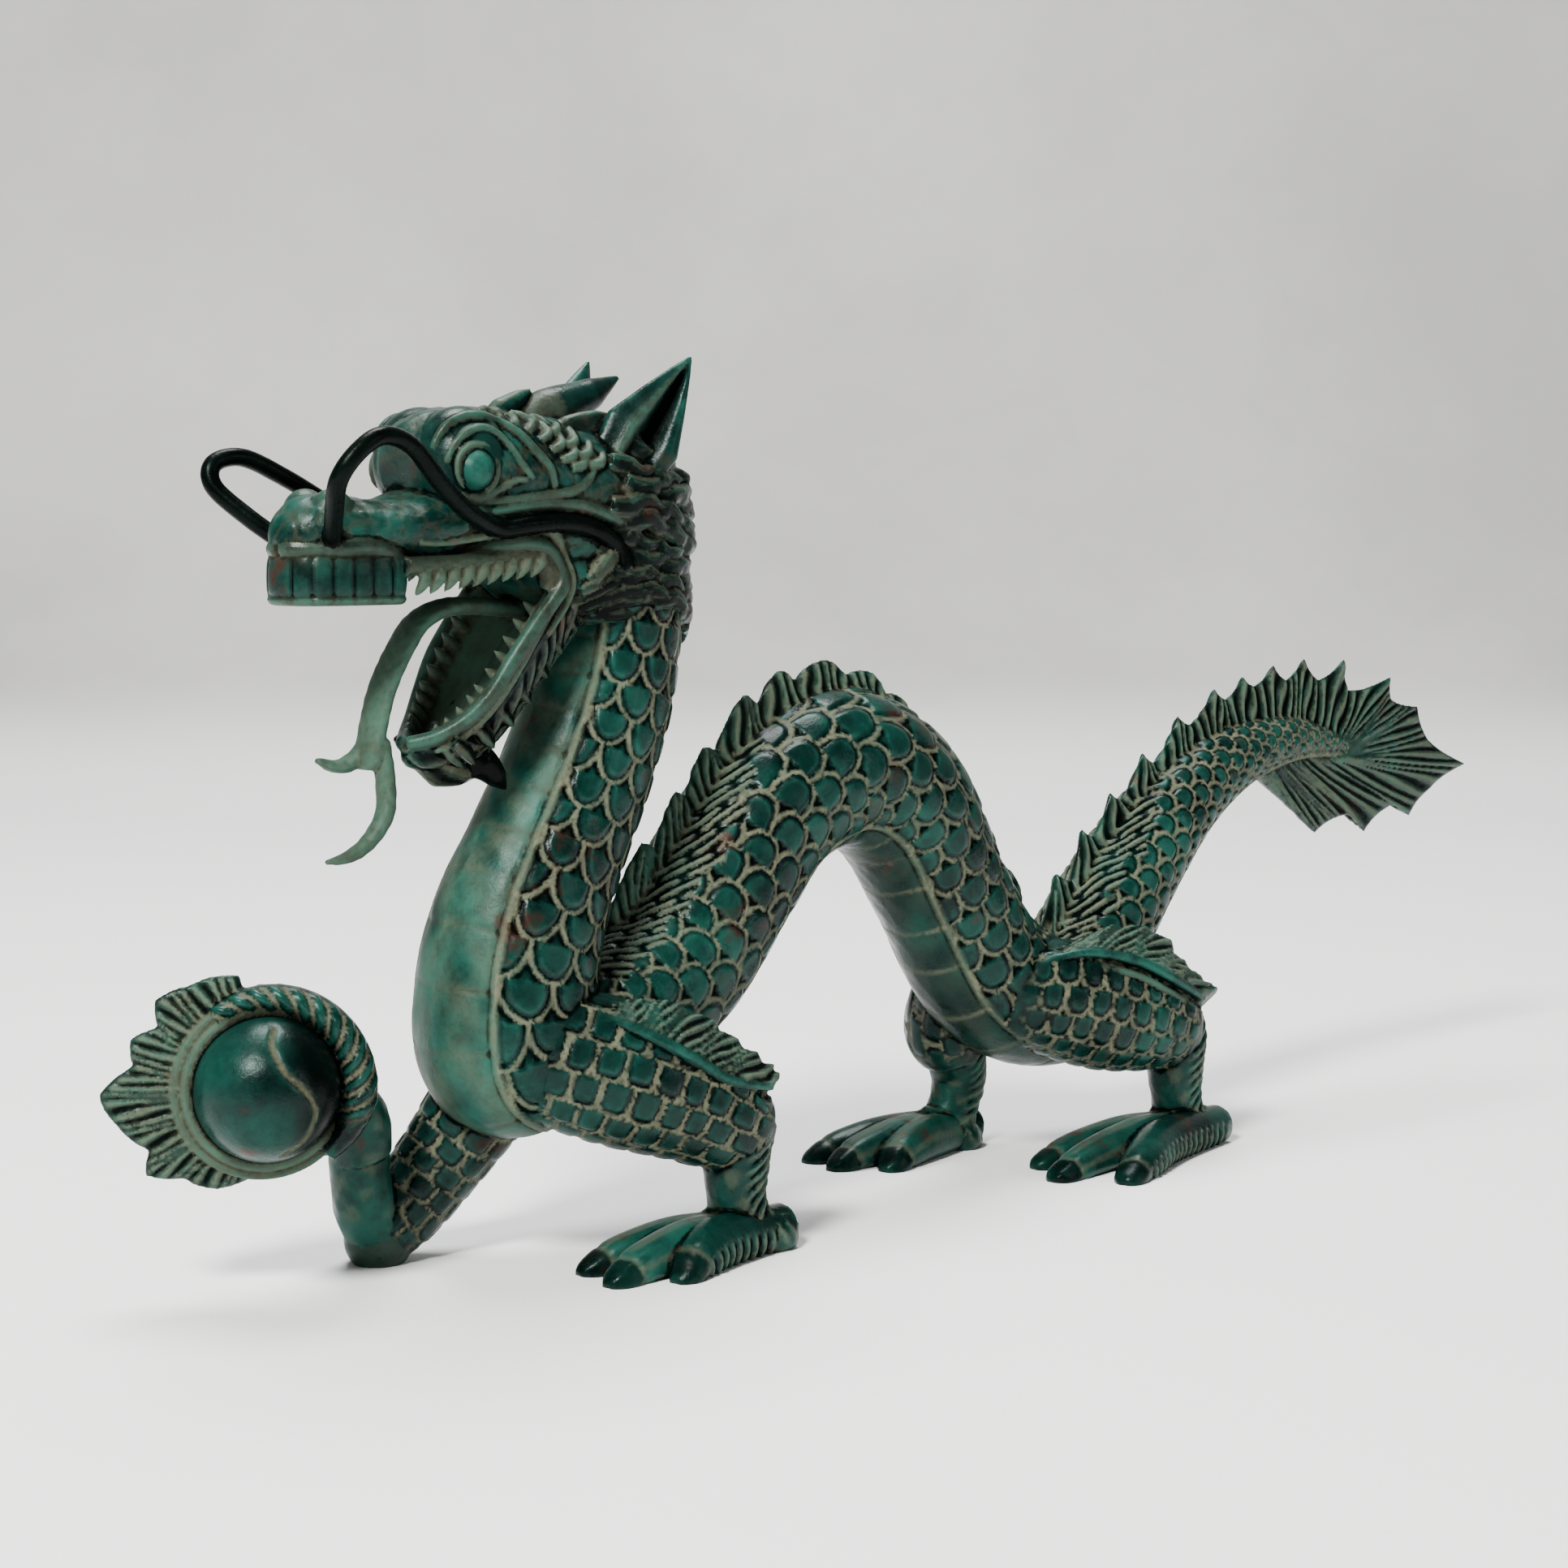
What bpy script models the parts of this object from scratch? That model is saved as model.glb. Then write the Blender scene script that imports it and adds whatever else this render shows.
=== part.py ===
"""A cast bronze dragon that props itself on its elbow and three feet and holds up a flaming pearl.

The figure is one casting. Its body is three tubes with rows of raised scales: the neck, the humped
trunk and the tail. The head, the limbs, the fins, the locks and the pearl are fused to them.
The dragon faces -X, its left side is -Y, its soles are at Z = 0. Lengths are in metres.
"""
import math

import bmesh
import bpy
from mathutils import Vector

# Driving dimensions
LENGTH = 0.428            # from the tip of the pearl's flame to the tip of the tail
PEARL_RADIUS = 0.0147
WHISKER_RADIUS = 0.0019
FIN_EDGE = 0.0014         # thickness of the fins at their toothed edge
FIN_ROOT = 0.0056         # thickness of the fins where they leave the body
LIP_RADIUS = 0.0018
TOOTH_RADIUS = 0.0021
SCALE_RISE = 0.0011       # how far a scale stands out of the body
FEATHER_NOTCH = 0.85      # depth of the notches between a feather's barbs, as a share of its width
SOLE_DEPTH = 0.0012       # what is cut off the rounded feet, to make them stand flat

# The pose and the proportions are shares of the length: a station is written in 428ths of it
UNIT = LENGTH / 428.0

SIDEWAYS = Vector((0.0, 1.0, 0.0))
NEAR, FAR = -1, 1         # the dragon's left and right side

# Stations of the body: x, y, z, half width, half height
NECK = [
    (-94, 0, 150, 13.6, 13.6), (-96.5, 0, 137, 14.4, 14.6), (-100, 0, 121, 15.0, 15.4),
    (-107, 0, 104, 15.4, 16.0), (-115.5, 0, 88, 16.0, 16.8), (-122.5, 0, 74, 17.5, 18.2),
    (-126, 0, 60, 18.6, 19.0), (-125, 0, 46, 19.0, 19.0), (-117, 0, 36, 15.0, 12.0),
]
TRUNK = [
    (-122, 0, 44, 14.5, 13.5), (-110, 0, 46, 17.0, 16.5), (-94, 0, 51.5, 17.5, 17.0),
    (-79, 0, 62, 17.2, 17.2), (-65, 0, 78, 16.8, 17.0), (-50, 0, 93, 16.6, 17.0),
    (-29, 0, 100, 16.8, 18.0), (-10.5, 0, 91, 16.8, 17.6), (4.0, 0, 69.7, 15.3, 16.3),
    (18.2, 0, 49.3, 16.0, 16.8), (35.5, 0, 39, 17.2, 16.3), (54, 0, 38, 16.0, 14.0),
    (68, 0, 44, 9.0, 8.0),
]
TAIL = [
    (46, 0, 38, 12.5, 13.0), (56, 0, 48, 14.0, 14.0), (66, 0, 60, 13.2, 13.2),
    (78, 0, 72.5, 12.2, 12.2), (92, 0, 84, 10.6, 10.8), (108, 0, 92, 8.8, 9.2),
    (124, 0, 96, 7.0, 7.6), (141, 0, 97, 5.0, 5.8), (158, 0, 94.5, 2.6, 3.2),
]
BELLY_HALF_ANGLE = math.radians(46)
MELT_SIZE = 0.0007        # the grain at which the forms are fused
MOST_TRIANGLES = 9600     # of the fused figure, before its soles are cut


def scaled(stations):
    """The stations in metres."""
    return [tuple(value * UNIT for value in station) for station in stations]


def at(x, y, z):
    return Vector((x, y, z)) * UNIT


def mirrored(stations, side):
    """The stations of a form of one side, which are written for the far side, with y turned over."""
    return [(station[0], station[1] * side) + tuple(station[2:]) for station in stations]


def smooth(stations, count):
    """Samples of the Catmull-Rom curve through the stations, evenly spread over its length."""
    fine = []
    last = len(stations) - 1
    for i in range(last):
        a = stations[max(i - 1, 0)]
        b = stations[i]
        c = stations[i + 1]
        d = stations[min(i + 2, last)]
        for step in range(12):
            t = step / 12.0
            fine.append(tuple(
                0.5 * (2 * q + (r - p) * t + (2 * p - 5 * q + 4 * r - s) * t ** 2
                       + (3 * q - p - 3 * r + s) * t ** 3)
                for p, q, r, s in zip(a, b, c, d)))
    fine.append(tuple(stations[last]))
    return resample(fine, [i / (count - 1) for i in range(count)])


def lengths_along(points):
    run = [0.0]
    for a, b in zip(points, points[1:]):
        run.append(run[-1] + (Vector(b[:3]) - Vector(a[:3])).length)
    return run


def resample(points, shares):
    """The points at the given shares of the line's length."""
    run = lengths_along(points)
    found = []
    i = 0
    for share in shares:
        goal = share * run[-1]
        while i < len(run) - 2 and run[i + 1] < goal:
            i += 1
        t = min(max((goal - run[i]) / (run[i + 1] - run[i]), 0.0), 1.0)
        found.append(tuple(a + (b - a) * t for a, b in zip(points[i], points[i + 1])))
    return found


def frames(points, side=SIDEWAYS):
    """Centre, side and up vector of each point. Up is towards the back of a line that runs tailwards."""
    found = []
    for i, point in enumerate(points):
        before = Vector(points[max(i - 1, 0)][:3])
        after = Vector(points[min(i + 1, len(points) - 1)][:3])
        tangent = (after - before).normalized()
        up = tangent.cross(side).normalized()
        found.append((Vector(point[:3]), up.cross(tangent).normalized(), up))
    return found


def form(name, points, faces):
    """A closed mesh object with its faces turned outwards."""
    mesh = bpy.data.meshes.new(name)
    mesh.from_pydata([tuple(point) for point in points], [], faces)
    work = bmesh.new()
    work.from_mesh(mesh)
    bmesh.ops.recalc_face_normals(work, faces=work.faces)
    bmesh.ops.triangulate(work, faces=work.faces)
    work.to_mesh(mesh)
    work.free()
    made = bpy.data.objects.new(name, mesh)
    forms.objects.link(made)
    return made


def bridge(rings, start, end):
    """Points and faces of a loft through the rings, closed by a fan to a point at either end."""
    count = len(rings[0])
    points = [point for ring in rings for point in ring]
    faces = []
    for i in range(len(rings) - 1):
        for j in range(count):
            k = (j + 1) % count
            faces.append((i * count + j, i * count + k, (i + 1) * count + k, (i + 1) * count + j))
    first = len(points)
    points += [start, end]
    base = (len(rings) - 1) * count
    for j in range(count):
        k = (j + 1) % count
        faces.append((first, k, j))
        faces.append((first + 1, base + j, base + k))
    return points, faces


def tube(name, stations, count, sides, side=SIDEWAYS, ridges=0.0):
    """A loft of elliptic rings through stations of x, y, z, half width and half height."""
    line = smooth(scaled(stations), count)
    rings = []
    for i, (centre, across, up) in enumerate(frames(line, side)):
        half_width, half_height = line[i][3], line[i][4]
        swell = ridges * (1 if i % 2 else -1)
        ring = []
        for j in range(sides):
            angle = 2 * math.pi * j / sides
            ring.append(centre + across * (half_width + swell) * math.sin(angle)
                        + up * (half_height + swell) * math.cos(angle))
        rings.append(ring)
    return form(name, *bridge(rings, Vector(line[0][:3]), Vector(line[-1][:3])))


def scaly_tube(name, stations, columns, pitch, rise, belly=0.0, side=SIDEWAYS):
    """A tube whose surface is a net of scales, each a low pyramid with its tip towards the tail.

    The rings lie half a scale apart and every second one is turned by half a scale. A scale's length
    is a share, pitch, of the tube's radius. Within the belly's angle the scales are plain cross bands.
    """
    fine = smooth(scaled(stations), 240)
    run = lengths_along(fine)
    places = [0.0]
    i = 0
    while True:
        while i < len(run) - 1 and run[i] < places[-1]:
            i += 1
        following = places[-1] + pitch * 0.5 * (fine[i][3] + fine[i][4])
        if following > run[-1]:
            break
        places.append(following)
    places = [place / places[-1] for place in places]
    line = resample(fine, places)
    turn = 2 * math.pi / columns

    def around(sample, frame, angle, lift):
        centre, across, up = frame
        return (centre + across * (sample[3] + lift) * math.sin(angle)
                + up * (sample[4] + lift) * math.cos(angle))

    def in_belly(angle):
        return abs((angle % (2 * math.pi)) - math.pi) < belly

    line_frames = frames(line, side)
    rings = []
    for row, (sample, frame) in enumerate(zip(line, line_frames)):
        ring = []
        for column in range(columns):
            angle = (column + 0.5 * (row % 2)) * turn
            groove = -0.45 * rise if in_belly(angle) and row % 2 else 0.0
            ring.append(around(sample, frame, angle, groove))
        rings.append(ring)
    points = [point for ring in rings for point in ring]
    faces = []
    tips = resample(fine, [places[row] + 0.66 * (places[row + 2] - places[row])
                           for row in range(len(places) - 2)])
    tip_frames = frames(tips, side)
    for row in range(len(places) - 2):
        for column in range(columns):
            odd = row % 2
            head = row * columns + column
            foot = (row + 2) * columns + column
            left = (row + 1) * columns + (column if odd else (column - 1) % columns)
            right = (row + 1) * columns + ((column + 1) % columns if odd else column)
            angle = (column + 0.5 * odd) * turn
            if in_belly(angle):
                faces += [(head, left, right), (left, foot, right)]
                continue
            points.append(around(tips[row], tip_frames[row], angle, rise))
            top = len(points) - 1
            faces += [(head, left, top), (left, foot, top), (foot, right, top), (right, head, top)]
    start, end = len(points), len(points) + 1
    points += [Vector(line[0][:3]), Vector(line[-1][:3])]
    last = (len(rings) - 1) * columns
    second_last = last - columns
    odd = (len(rings) - 2) % 2
    for column in range(columns):
        following = (column + 1) % columns
        faces.append((column, following, columns + column))
        faces.append((start, column, following))
        between = second_last + (column if odd else following)
        faces.append((last + column, last + following, between))
        faces.append((end, last + column, last + following))
    return form(name, points, faces)


def blade(name, root, edge, root_half, edge_half, across=SIDEWAYS, flute=0.25):
    """A fin: a strip between its thick root line and its thin toothed edge, fluted along its rays."""
    points = []
    for i, (low, high) in enumerate(zip(root, edge)):
        share = 1.0 if i % 2 else 1.0 - flute
        points += [low - across * root_half * share, low + across * root_half * share,
                   high + across * edge_half * share, high - across * edge_half * share]
    faces = []
    for i in range(len(root) - 1):
        for j in range(4):
            k = (j + 1) % 4
            faces.append((4 * i + j, 4 * i + k, 4 * i + 4 + k, 4 * i + 4 + j))
    last = 4 * (len(root) - 1)
    faces.append((3, 2, 1, 0))
    faces.append((last, last + 1, last + 2, last + 3))
    return form(name, points, faces)


def ball(name, centre, radii, segments=12, rings=8):
    made = bmesh.new()
    bmesh.ops.create_uvsphere(made, u_segments=segments, v_segments=rings, radius=1.0)
    for vertex in made.verts:
        vertex.co = Vector((vertex.co.x * radii[0], vertex.co.y * radii[1], vertex.co.z * radii[2]))
        vertex.co += centre
    mesh = bpy.data.meshes.new(name)
    made.to_mesh(mesh)
    made.free()
    result = bpy.data.objects.new(name, mesh)
    forms.objects.link(result)
    return result


def lock(name, start, middle, tip, radius, sides=4):
    """A lock of mane, a horn or a claw: a bent spike that is thickest in its first half."""
    stations = [
        (*start, radius * 0.75, radius * 0.75), (*middle, radius, radius),
        (*tip, radius * 0.12, radius * 0.12),
    ]
    reach = Vector(tip) - Vector(start)
    side = SIDEWAYS if abs(reach.normalized().y) < 0.8 else Vector((0.0, 0.0, 1.0))
    return tube(name, stations, 3, sides, side)


def make_body():
    scaly_tube("neck", NECK, 10, 0.42, SCALE_RISE, BELLY_HALF_ANGLE)
    scaly_tube("trunk", TRUNK, 10, 0.42, SCALE_RISE, BELLY_HALF_ANGLE)
    scaly_tube("tail", TAIL, 8, 0.60, SCALE_RISE * 0.8, BELLY_HALF_ANGLE)


def make_fins():
    """The toothed fin along the trunk's back, and the tail's, which opens into a leaf at its end."""
    back_root = [
        (-97, 62), (-93, 68), (-86, 76), (-81, 81), (-75, 88), (-70, 94), (-64, 99), (-59, 103),
        (-53, 107), (-48, 109), (-41, 112), (-35, 113), (-27, 113), (-20, 112), (-13, 109),
        (-8, 105), (-3, 100), (1, 95), (5, 89), (8, 82), (11, 76), (15, 70), (19, 64), (23, 59),
        (29, 56),
    ]
    back_edge = [
        (-99, 70), (-88.5, 87.5), (-85, 86), (-78.8, 98.1), (-76, 96.5), (-70.5, 107.4), (-66.9, 106.3),
        (-58.3, 118.5), (-54.5, 116), (-47.7, 123.5), (-43, 121), (-33.3, 125.2), (-27, 121.5),
        (-18.0, 121.5), (-14, 116.5), (-8.4, 115.2), (-4, 109.6), (4.9, 104.6), (5.8, 98.6), (16.1, 92.6),
        (16.2, 86.6), (24.0, 79.4), (24.6, 73.6), (32.6, 67.6), (33, 59.4),
    ]
    tail_root = [
        (42, 52), (45, 56), (51, 60), (55, 64), (62, 70), (66, 74), (73, 80), (77, 83), (85, 88),
        (90, 91), (98, 94), (104, 96), (111, 98), (116, 99), (122, 99.5), (127, 99.5), (133, 99.5),
        (138, 99.3), (145, 98.8), (150, 98), (156, 97), (159, 96), (161, 94.5), (161.5, 93.5),
        (160, 92), (157, 91.5), (152, 92.5), (147, 93), (141, 93.6), (136, 93.8), (130, 93.5),
        (125, 92.5), (120, 91),
    ]
    tail_edge = [
        (44, 62), (45.9, 69.5), (51.4, 67.0), (55.3, 79.6), (59.6, 77.5), (65.9, 88.0), (69.8, 86.0),
        (78.2, 97.4), (82.5, 94.5), (91.9, 106.0), (96.8, 103.5), (106.5, 112.4), (111.3, 109.3),
        (118.1, 115.1), (123.0, 112.3), (131.0, 117.6), (136.5, 113.3), (144.2, 118.8),
        (150.5, 112.7), (162.0, 118.0), (163.5, 109.5), (183.2, 112.2), (183.5, 106), (196.0, 103.4),
        (201, 94), (219.7, 85.8), (203.0, 80.0), (192.8, 72.7), (186.5, 77.0), (172.0, 69.8),
        (166.5, 75.5), (150.0, 71.2), (126, 87),
    ]
    for name, root, edge in (("back_fin", back_root, back_edge), ("tail_fin", tail_root, tail_edge)):
        blade(name, [at(x, 0, z) for x, z in root], [at(x, 0, z) for x, z in edge],
              FIN_ROOT / 2, FIN_EDGE / 2)


def feather(name, stem, top, teeth):
    """A feathered fin on a limb: a toothed blade between its stem line and its top line."""
    stem_line = smooth(scaled(stem), 2 * teeth + 1)
    top_line = smooth(scaled(top), 2 * teeth + 1)
    root = [Vector(point) for point in stem_line]
    edge = []
    for i, (low, high) in enumerate(zip(root, top_line)):
        reach = Vector(high) - low
        edge.append(low + reach * (1.0 if i % 2 else FEATHER_NOTCH))
    middle = (edge[teeth] - root[teeth]).cross(root[-1] - root[0])
    blade(name, root, edge, FIN_ROOT / 2, FIN_EDGE / 2, middle.normalized())


def make_foot(name, ankle, heel, toes):
    """A foot: a heel behind the ankle, and toes that run forward to their claws."""
    ax, ay = ankle
    tube(name + "_heel", [(ax - 6, ay, 6, 5.5, 6.0), (ax + 2, ay, 6, 6.5, 6.5),
                          (heel[0] - 4, heel[1], 4, 5.0, 4.6), (heel[0] + 0.5, heel[1], 2.6, 2.0, 2.2)], 5, 8)
    for number, (tx, ty, size) in enumerate(toes):
        stations = [
            (ax + 2, ay + (ty - ay) * 0.12, 6.0, size * 1.1, size * 1.15),
            (ax + (tx - ax) * 0.35, ay + (ty - ay) * 0.42, 5.8, size * 1.15, size * 1.2),
            (ax + (tx - ax) * 0.72, ay + (ty - ay) * 0.76, 4.2, size, size * 0.95),
            (tx + 3.0, ty - (ty - ay) * 0.05, 1.9, size * 0.8, size * 0.62),
            (tx, ty, 0.9, size * 0.35, size * 0.3),
        ]
        tube("%s_toe_%d" % (name, number), stations, 7, 7)


def make_legs():
    # The near foreleg carries the chest: a deep scaly upper arm, then a plain shin
    scaly_tube("near_arm", [
        (-130, -4, 50, 10, 12), (-121, -11, 47, 11.5, 15.0), (-110, -18, 42.5, 11, 15.5),
        (-98, -23, 37, 10, 14.0), (-88, -26.5, 31, 8.8, 11.5), (-80, -27, 27, 7.0, 8.5),
    ], 10, 0.50, SCALE_RISE * 0.8)
    tube("near_shin", [
        (-82, -27, 36, 5.0, 5.0), (-84.5, -27, 29, 7.4, 8.0), (-85.5, -27, 21, 7.2, 7.2),
        (-85.4, -27, 13, 6.4, 6.4), (-84.0, -27, 5, 7.0, 7.4),
    ], 8, 9)
    make_foot("near_forefoot", (-85.4, -27), (-73.0, -30.5),
              [(-112.5, -38.5, 5.0), (-125.0, -31.6, 4.8), (-123.0, -20.0, 4.5)])
    feather("near_elbow_fin", [
        (-117.8, -20.0, 54.1), (-112.9, -24.5, 51.8), (-105.0, -29.0, 46.9), (-99.7, -30.5, 43.6),
        (-93.5, -32.0, 39.5), (-87.8, -32.5, 37.7), (-80.8, -32.0, 36.0),
    ], [
        (-114.5, -18.0, 55.1), (-107.6, -19.5, 57.8), (-102.5, -21.0, 57.2), (-96.0, -23.0, 55.0),
        (-87.9, -25.0, 50.4), (-84.2, -26.0, 47.0), (-81.3, -27.0, 44.8), (-77.4, -29.0, 41.4),
        (-75.7, -30.5, 38.4),
    ], 7)

    # The far foreleg lies on its elbow and lifts the paw with the pearl
    scaly_tube("far_arm", [
        (-122, 3, 44, 11, 12), (-126, 9, 34, 9.5, 11), (-133, 14, 22, 8.4, 9.5),
        (-141, 17, 12, 7.6, 8.4), (-147, 18, 7, 6.8, 6.4),
    ], 8, 0.6, SCALE_RISE * 0.7)
    ball("far_elbow", at(-146.5, 18, 6.4), (0.0075, 0.0072, 0.0076), 10, 7)
    tube("far_forearm", [
        (-146, 18, 6, 6.4, 6.4), (-150.5, 17, 14, 6.6, 6.6), (-153, 15.5, 24, 6.0, 6.4),
        (-153.5, 14, 32, 6.6, 6.6),
    ], 6, 9)

    # The hind legs: the near one further back, the far one under the hip
    scaly_tube("near_thigh", [
        (20, -6, 44, 11, 11), (32, -12, 42, 12, 14.5), (45, -17, 38, 11.5, 15.0),
        (57, -20.5, 34, 10, 12.5), (68, -22, 30, 7.8, 9.0),
    ], 10, 0.50, SCALE_RISE * 0.8)
    tube("near_hind_shin", [
        (68, -22, 38, 4.6, 4.6), (66.5, -22, 29, 7.2, 7.6), (66.0, -22, 20, 6.8, 6.8),
        (66.8, -22, 12, 6.2, 6.2), (68.5, -22, 5, 7.0, 7.2),
    ], 8, 9)
    make_foot("near_hindfoot", (67.4, -22), (82.0, -22),
              [(23.5, -42.5, 4.9), (13.5, -29.0, 4.8), (20.5, -16.5, 4.5)])
    feather("near_knee_fin", [
        (21.5, -15.0, 49.2), (26.9, -18.0, 51.0), (33.9, -21.5, 51.7), (44.1, -26.0, 49.4),
        (52.0, -28.5, 45.7), (63.0, -28.5, 40.1), (69.3, -27.5, 37.0),
    ], [
        (30.9, -12.0, 51.3), (41.2, -15.0, 55.6), (49.6, -17.0, 57.8), (61.3, -20.0, 55.6),
        (64.5, -22.0, 52.2), (66.6, -24.0, 47.5), (69.9, -25.5, 44.1), (76.6, -27.0, 39.5),
    ], 8)

    tube("far_thigh", [
        (30, 5, 44, 12, 13), (24, 10, 39, 12, 13.5), (22, 14, 32, 10, 11), (25, 15, 25, 8, 8.6),
    ], 6, 10)
    tube("far_hind_shin", [
        (21, 14, 34, 7, 7), (25.5, 15, 26, 7.8, 7.8), (27.5, 15.5, 18, 6.6, 6.8),
        (25.0, 15.5, 10, 6.0, 6.6), (22, 15.5, 5, 7.0, 7.2),
    ], 8, 9)
    make_foot("far_hindfoot", (22.5, 15.5), (30.0, 12.0),
              [(-15.0, 26.0, 4.6), (-16.5, 15.5, 4.8), (-8.0, 6.0, 4.9)])
    feather("far_knee_fin", [(18, 19, 41), (26, 22, 42), (34, 23, 38), (40, 21.5, 31)],
            [(21, 17, 49), (32, 18.5, 51), (42, 19.5, 43), (47, 20, 33)], 5)


def make_pearl():
    """The pearl in its rings, a leaf of flames behind it, and the paw that curls over it."""
    centre = at(-180.5, 8, 44.3)
    turn = math.radians(25)
    facing = Vector((-math.sin(turn), -math.cos(turn), 0.0))
    leftwards = Vector((-math.cos(turn), math.sin(turn), 0.0))
    upwards = Vector((0.0, 0.0, 1.0))
    ball("pearl", centre, (PEARL_RADIUS, PEARL_RADIUS, PEARL_RADIUS), 20, 12)

    def in_plane(left, up, depth=0.0):
        return centre + leftwards * left * UNIT + upwards * up * UNIT - facing * depth * UNIT

    flame = [
        (4.3, 22.6), (14.6, 20.9), (21.3, 18.1), (20.7, 12.8), (26.2, 10.6), (25.8, 5.3), (32.6, -0.3),
        (29.0, -6.8), (22.9, -12.1), (23.7, -17.1), (16.2, -18.2), (9.3, -20.9), (0.3, -17.6), (-7.7, -16.2),
    ]
    edge = [in_plane(left, up, 5) for left, up in flame]
    root = [in_plane(left * 0.35, up * 0.35, 4) for left, up in flame]
    blade("flame", root, edge, 4.6 * UNIT, FIN_EDGE * 0.9, facing, 0.2)

    ring_radius = PEARL_RADIUS + 1.7 * UNIT
    rim = []
    for step in range(17):
        angle = math.radians(70 + step * 220 / 16)
        rim.append(in_plane(-ring_radius / UNIT * math.cos(angle + math.pi), ring_radius / UNIT * math.sin(angle), 2.0))
    wire("pearl_ring", rim, 1.5 * UNIT, 6)

    paw = []
    for step in range(10):
        share = step / 9.0
        angle = math.radians(-62 + 186 * share)
        reach = PEARL_RADIUS / UNIT + 4.2 - 1.0 * share
        point = in_plane(-reach * math.cos(angle), reach * math.sin(angle), 3.2) / UNIT
        swell = 0.62 + 0.38 * min(1.0, 5.0 * share)
        paw.append((point.x, point.y, point.z, (8.6 - 5.4 * share) * swell, (5.4 - 3.6 * share) * swell))
    tube("paw", paw, 13, 8, facing, 0.35 * UNIT)
    tube("wrist", [(-153.3, 14.5, 26, 6.4, 6.4), (-155.5, 13.5, 34, 8.5, 6.6), (-160.5, 13, 40, 8.0, 6.0)], 4, 9)


def wire(name, points, radius, sides):
    """A round bar along points in metres. Its rings don't twist, whichever way it turns."""
    across = None
    rings = []
    for i, point in enumerate(points):
        before = Vector(points[max(i - 1, 0)])
        after = Vector(points[min(i + 1, len(points) - 1)])
        tangent = (after - before).normalized()
        if across is None:
            across = tangent.orthogonal()
        across = (across - tangent * across.dot(tangent)).normalized()
        up = tangent.cross(across)
        ring = []
        for j in range(sides):
            angle = 2 * math.pi * j / sides
            ring.append(Vector(point) + (across * math.sin(angle) + up * math.cos(angle)) * radius)
        rings.append(ring)
    return form(name, *bridge(rings, Vector(points[0]), Vector(points[-1])))


def smooth_wire(name, stations, count, radius, sides):
    line = smooth(scaled(stations), count)
    return wire(name, [Vector(point) for point in line], radius, sides)


def make_skull():
    """The head's main masses, all even about the median plane."""
    tube("cranium", [
        (-152, 0, 167, 7, 7), (-146, 0, 168.5, 12.5, 11), (-137, 0, 167.5, 15.0, 13.5),
        (-126, 0, 165.5, 16.2, 14.5), (-113, 0, 163.5, 16.8, 15.5), (-100, 0, 160, 16.2, 16.0),
        (-92, 0, 154, 13.0, 13.5), (-86.5, 0, 148, 9.0, 10.0),
    ], 9, 12)
    tube("snout", [
        (-180, 0, 151.5, 3.5, 3.0), (-178, 0, 153, 6.5, 5.6), (-173.5, 0, 155.5, 9.3, 7.4),
        (-167, 0, 156.0, 11.0, 7.4), (-158, 0, 156.0, 12.2, 7.0), (-147, 0, 157.0, 13.4, 8.0),
        (-135, 0, 158, 15.0, 10.5), (-120, 0, 156, 15.5, 12.0), (-106, 0, 150, 14.5, 13.0),
    ], 11, 12)
    tube("upper_jaw", [
        (-179.5, 0, 146.5, 3.8, 5.0), (-177.5, 0, 146.3, 6.5, 5.2), (-172, 0, 146.3, 9.6, 5.2),
        (-162, 0, 147.0, 11.2, 5.0), (-158, 0, 149.5, 10.5, 4.2),
    ], 6, 12)
    tube("cheek", [
        (-128, 0, 150, 12.0, 4.0), (-118, 0, 147, 14.5, 9.0), (-106, 0, 145, 15.0, 12.0),
        (-95, 0, 145, 14.0, 13.0),
    ], 5, 12)
    for side in (NEAR, FAR):
        ball("nostril", at(-171.5, 4.6 * side, 159.5), (4.6 * UNIT, 4.2 * UNIT, 4.6 * UNIT), 8, 6)
        ball("eye_lobe", at(-141.5, 6.6 * side, 169.5), (10.6 * UNIT, 8.8 * UNIT, 11.2 * UNIT), 10, 7)
        ball("eyeball", at(-145.0, 13.6 * side, 167.9), (4.6 * UNIT, 4.4 * UNIT, 4.6 * UNIT), 8, 6)


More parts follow.
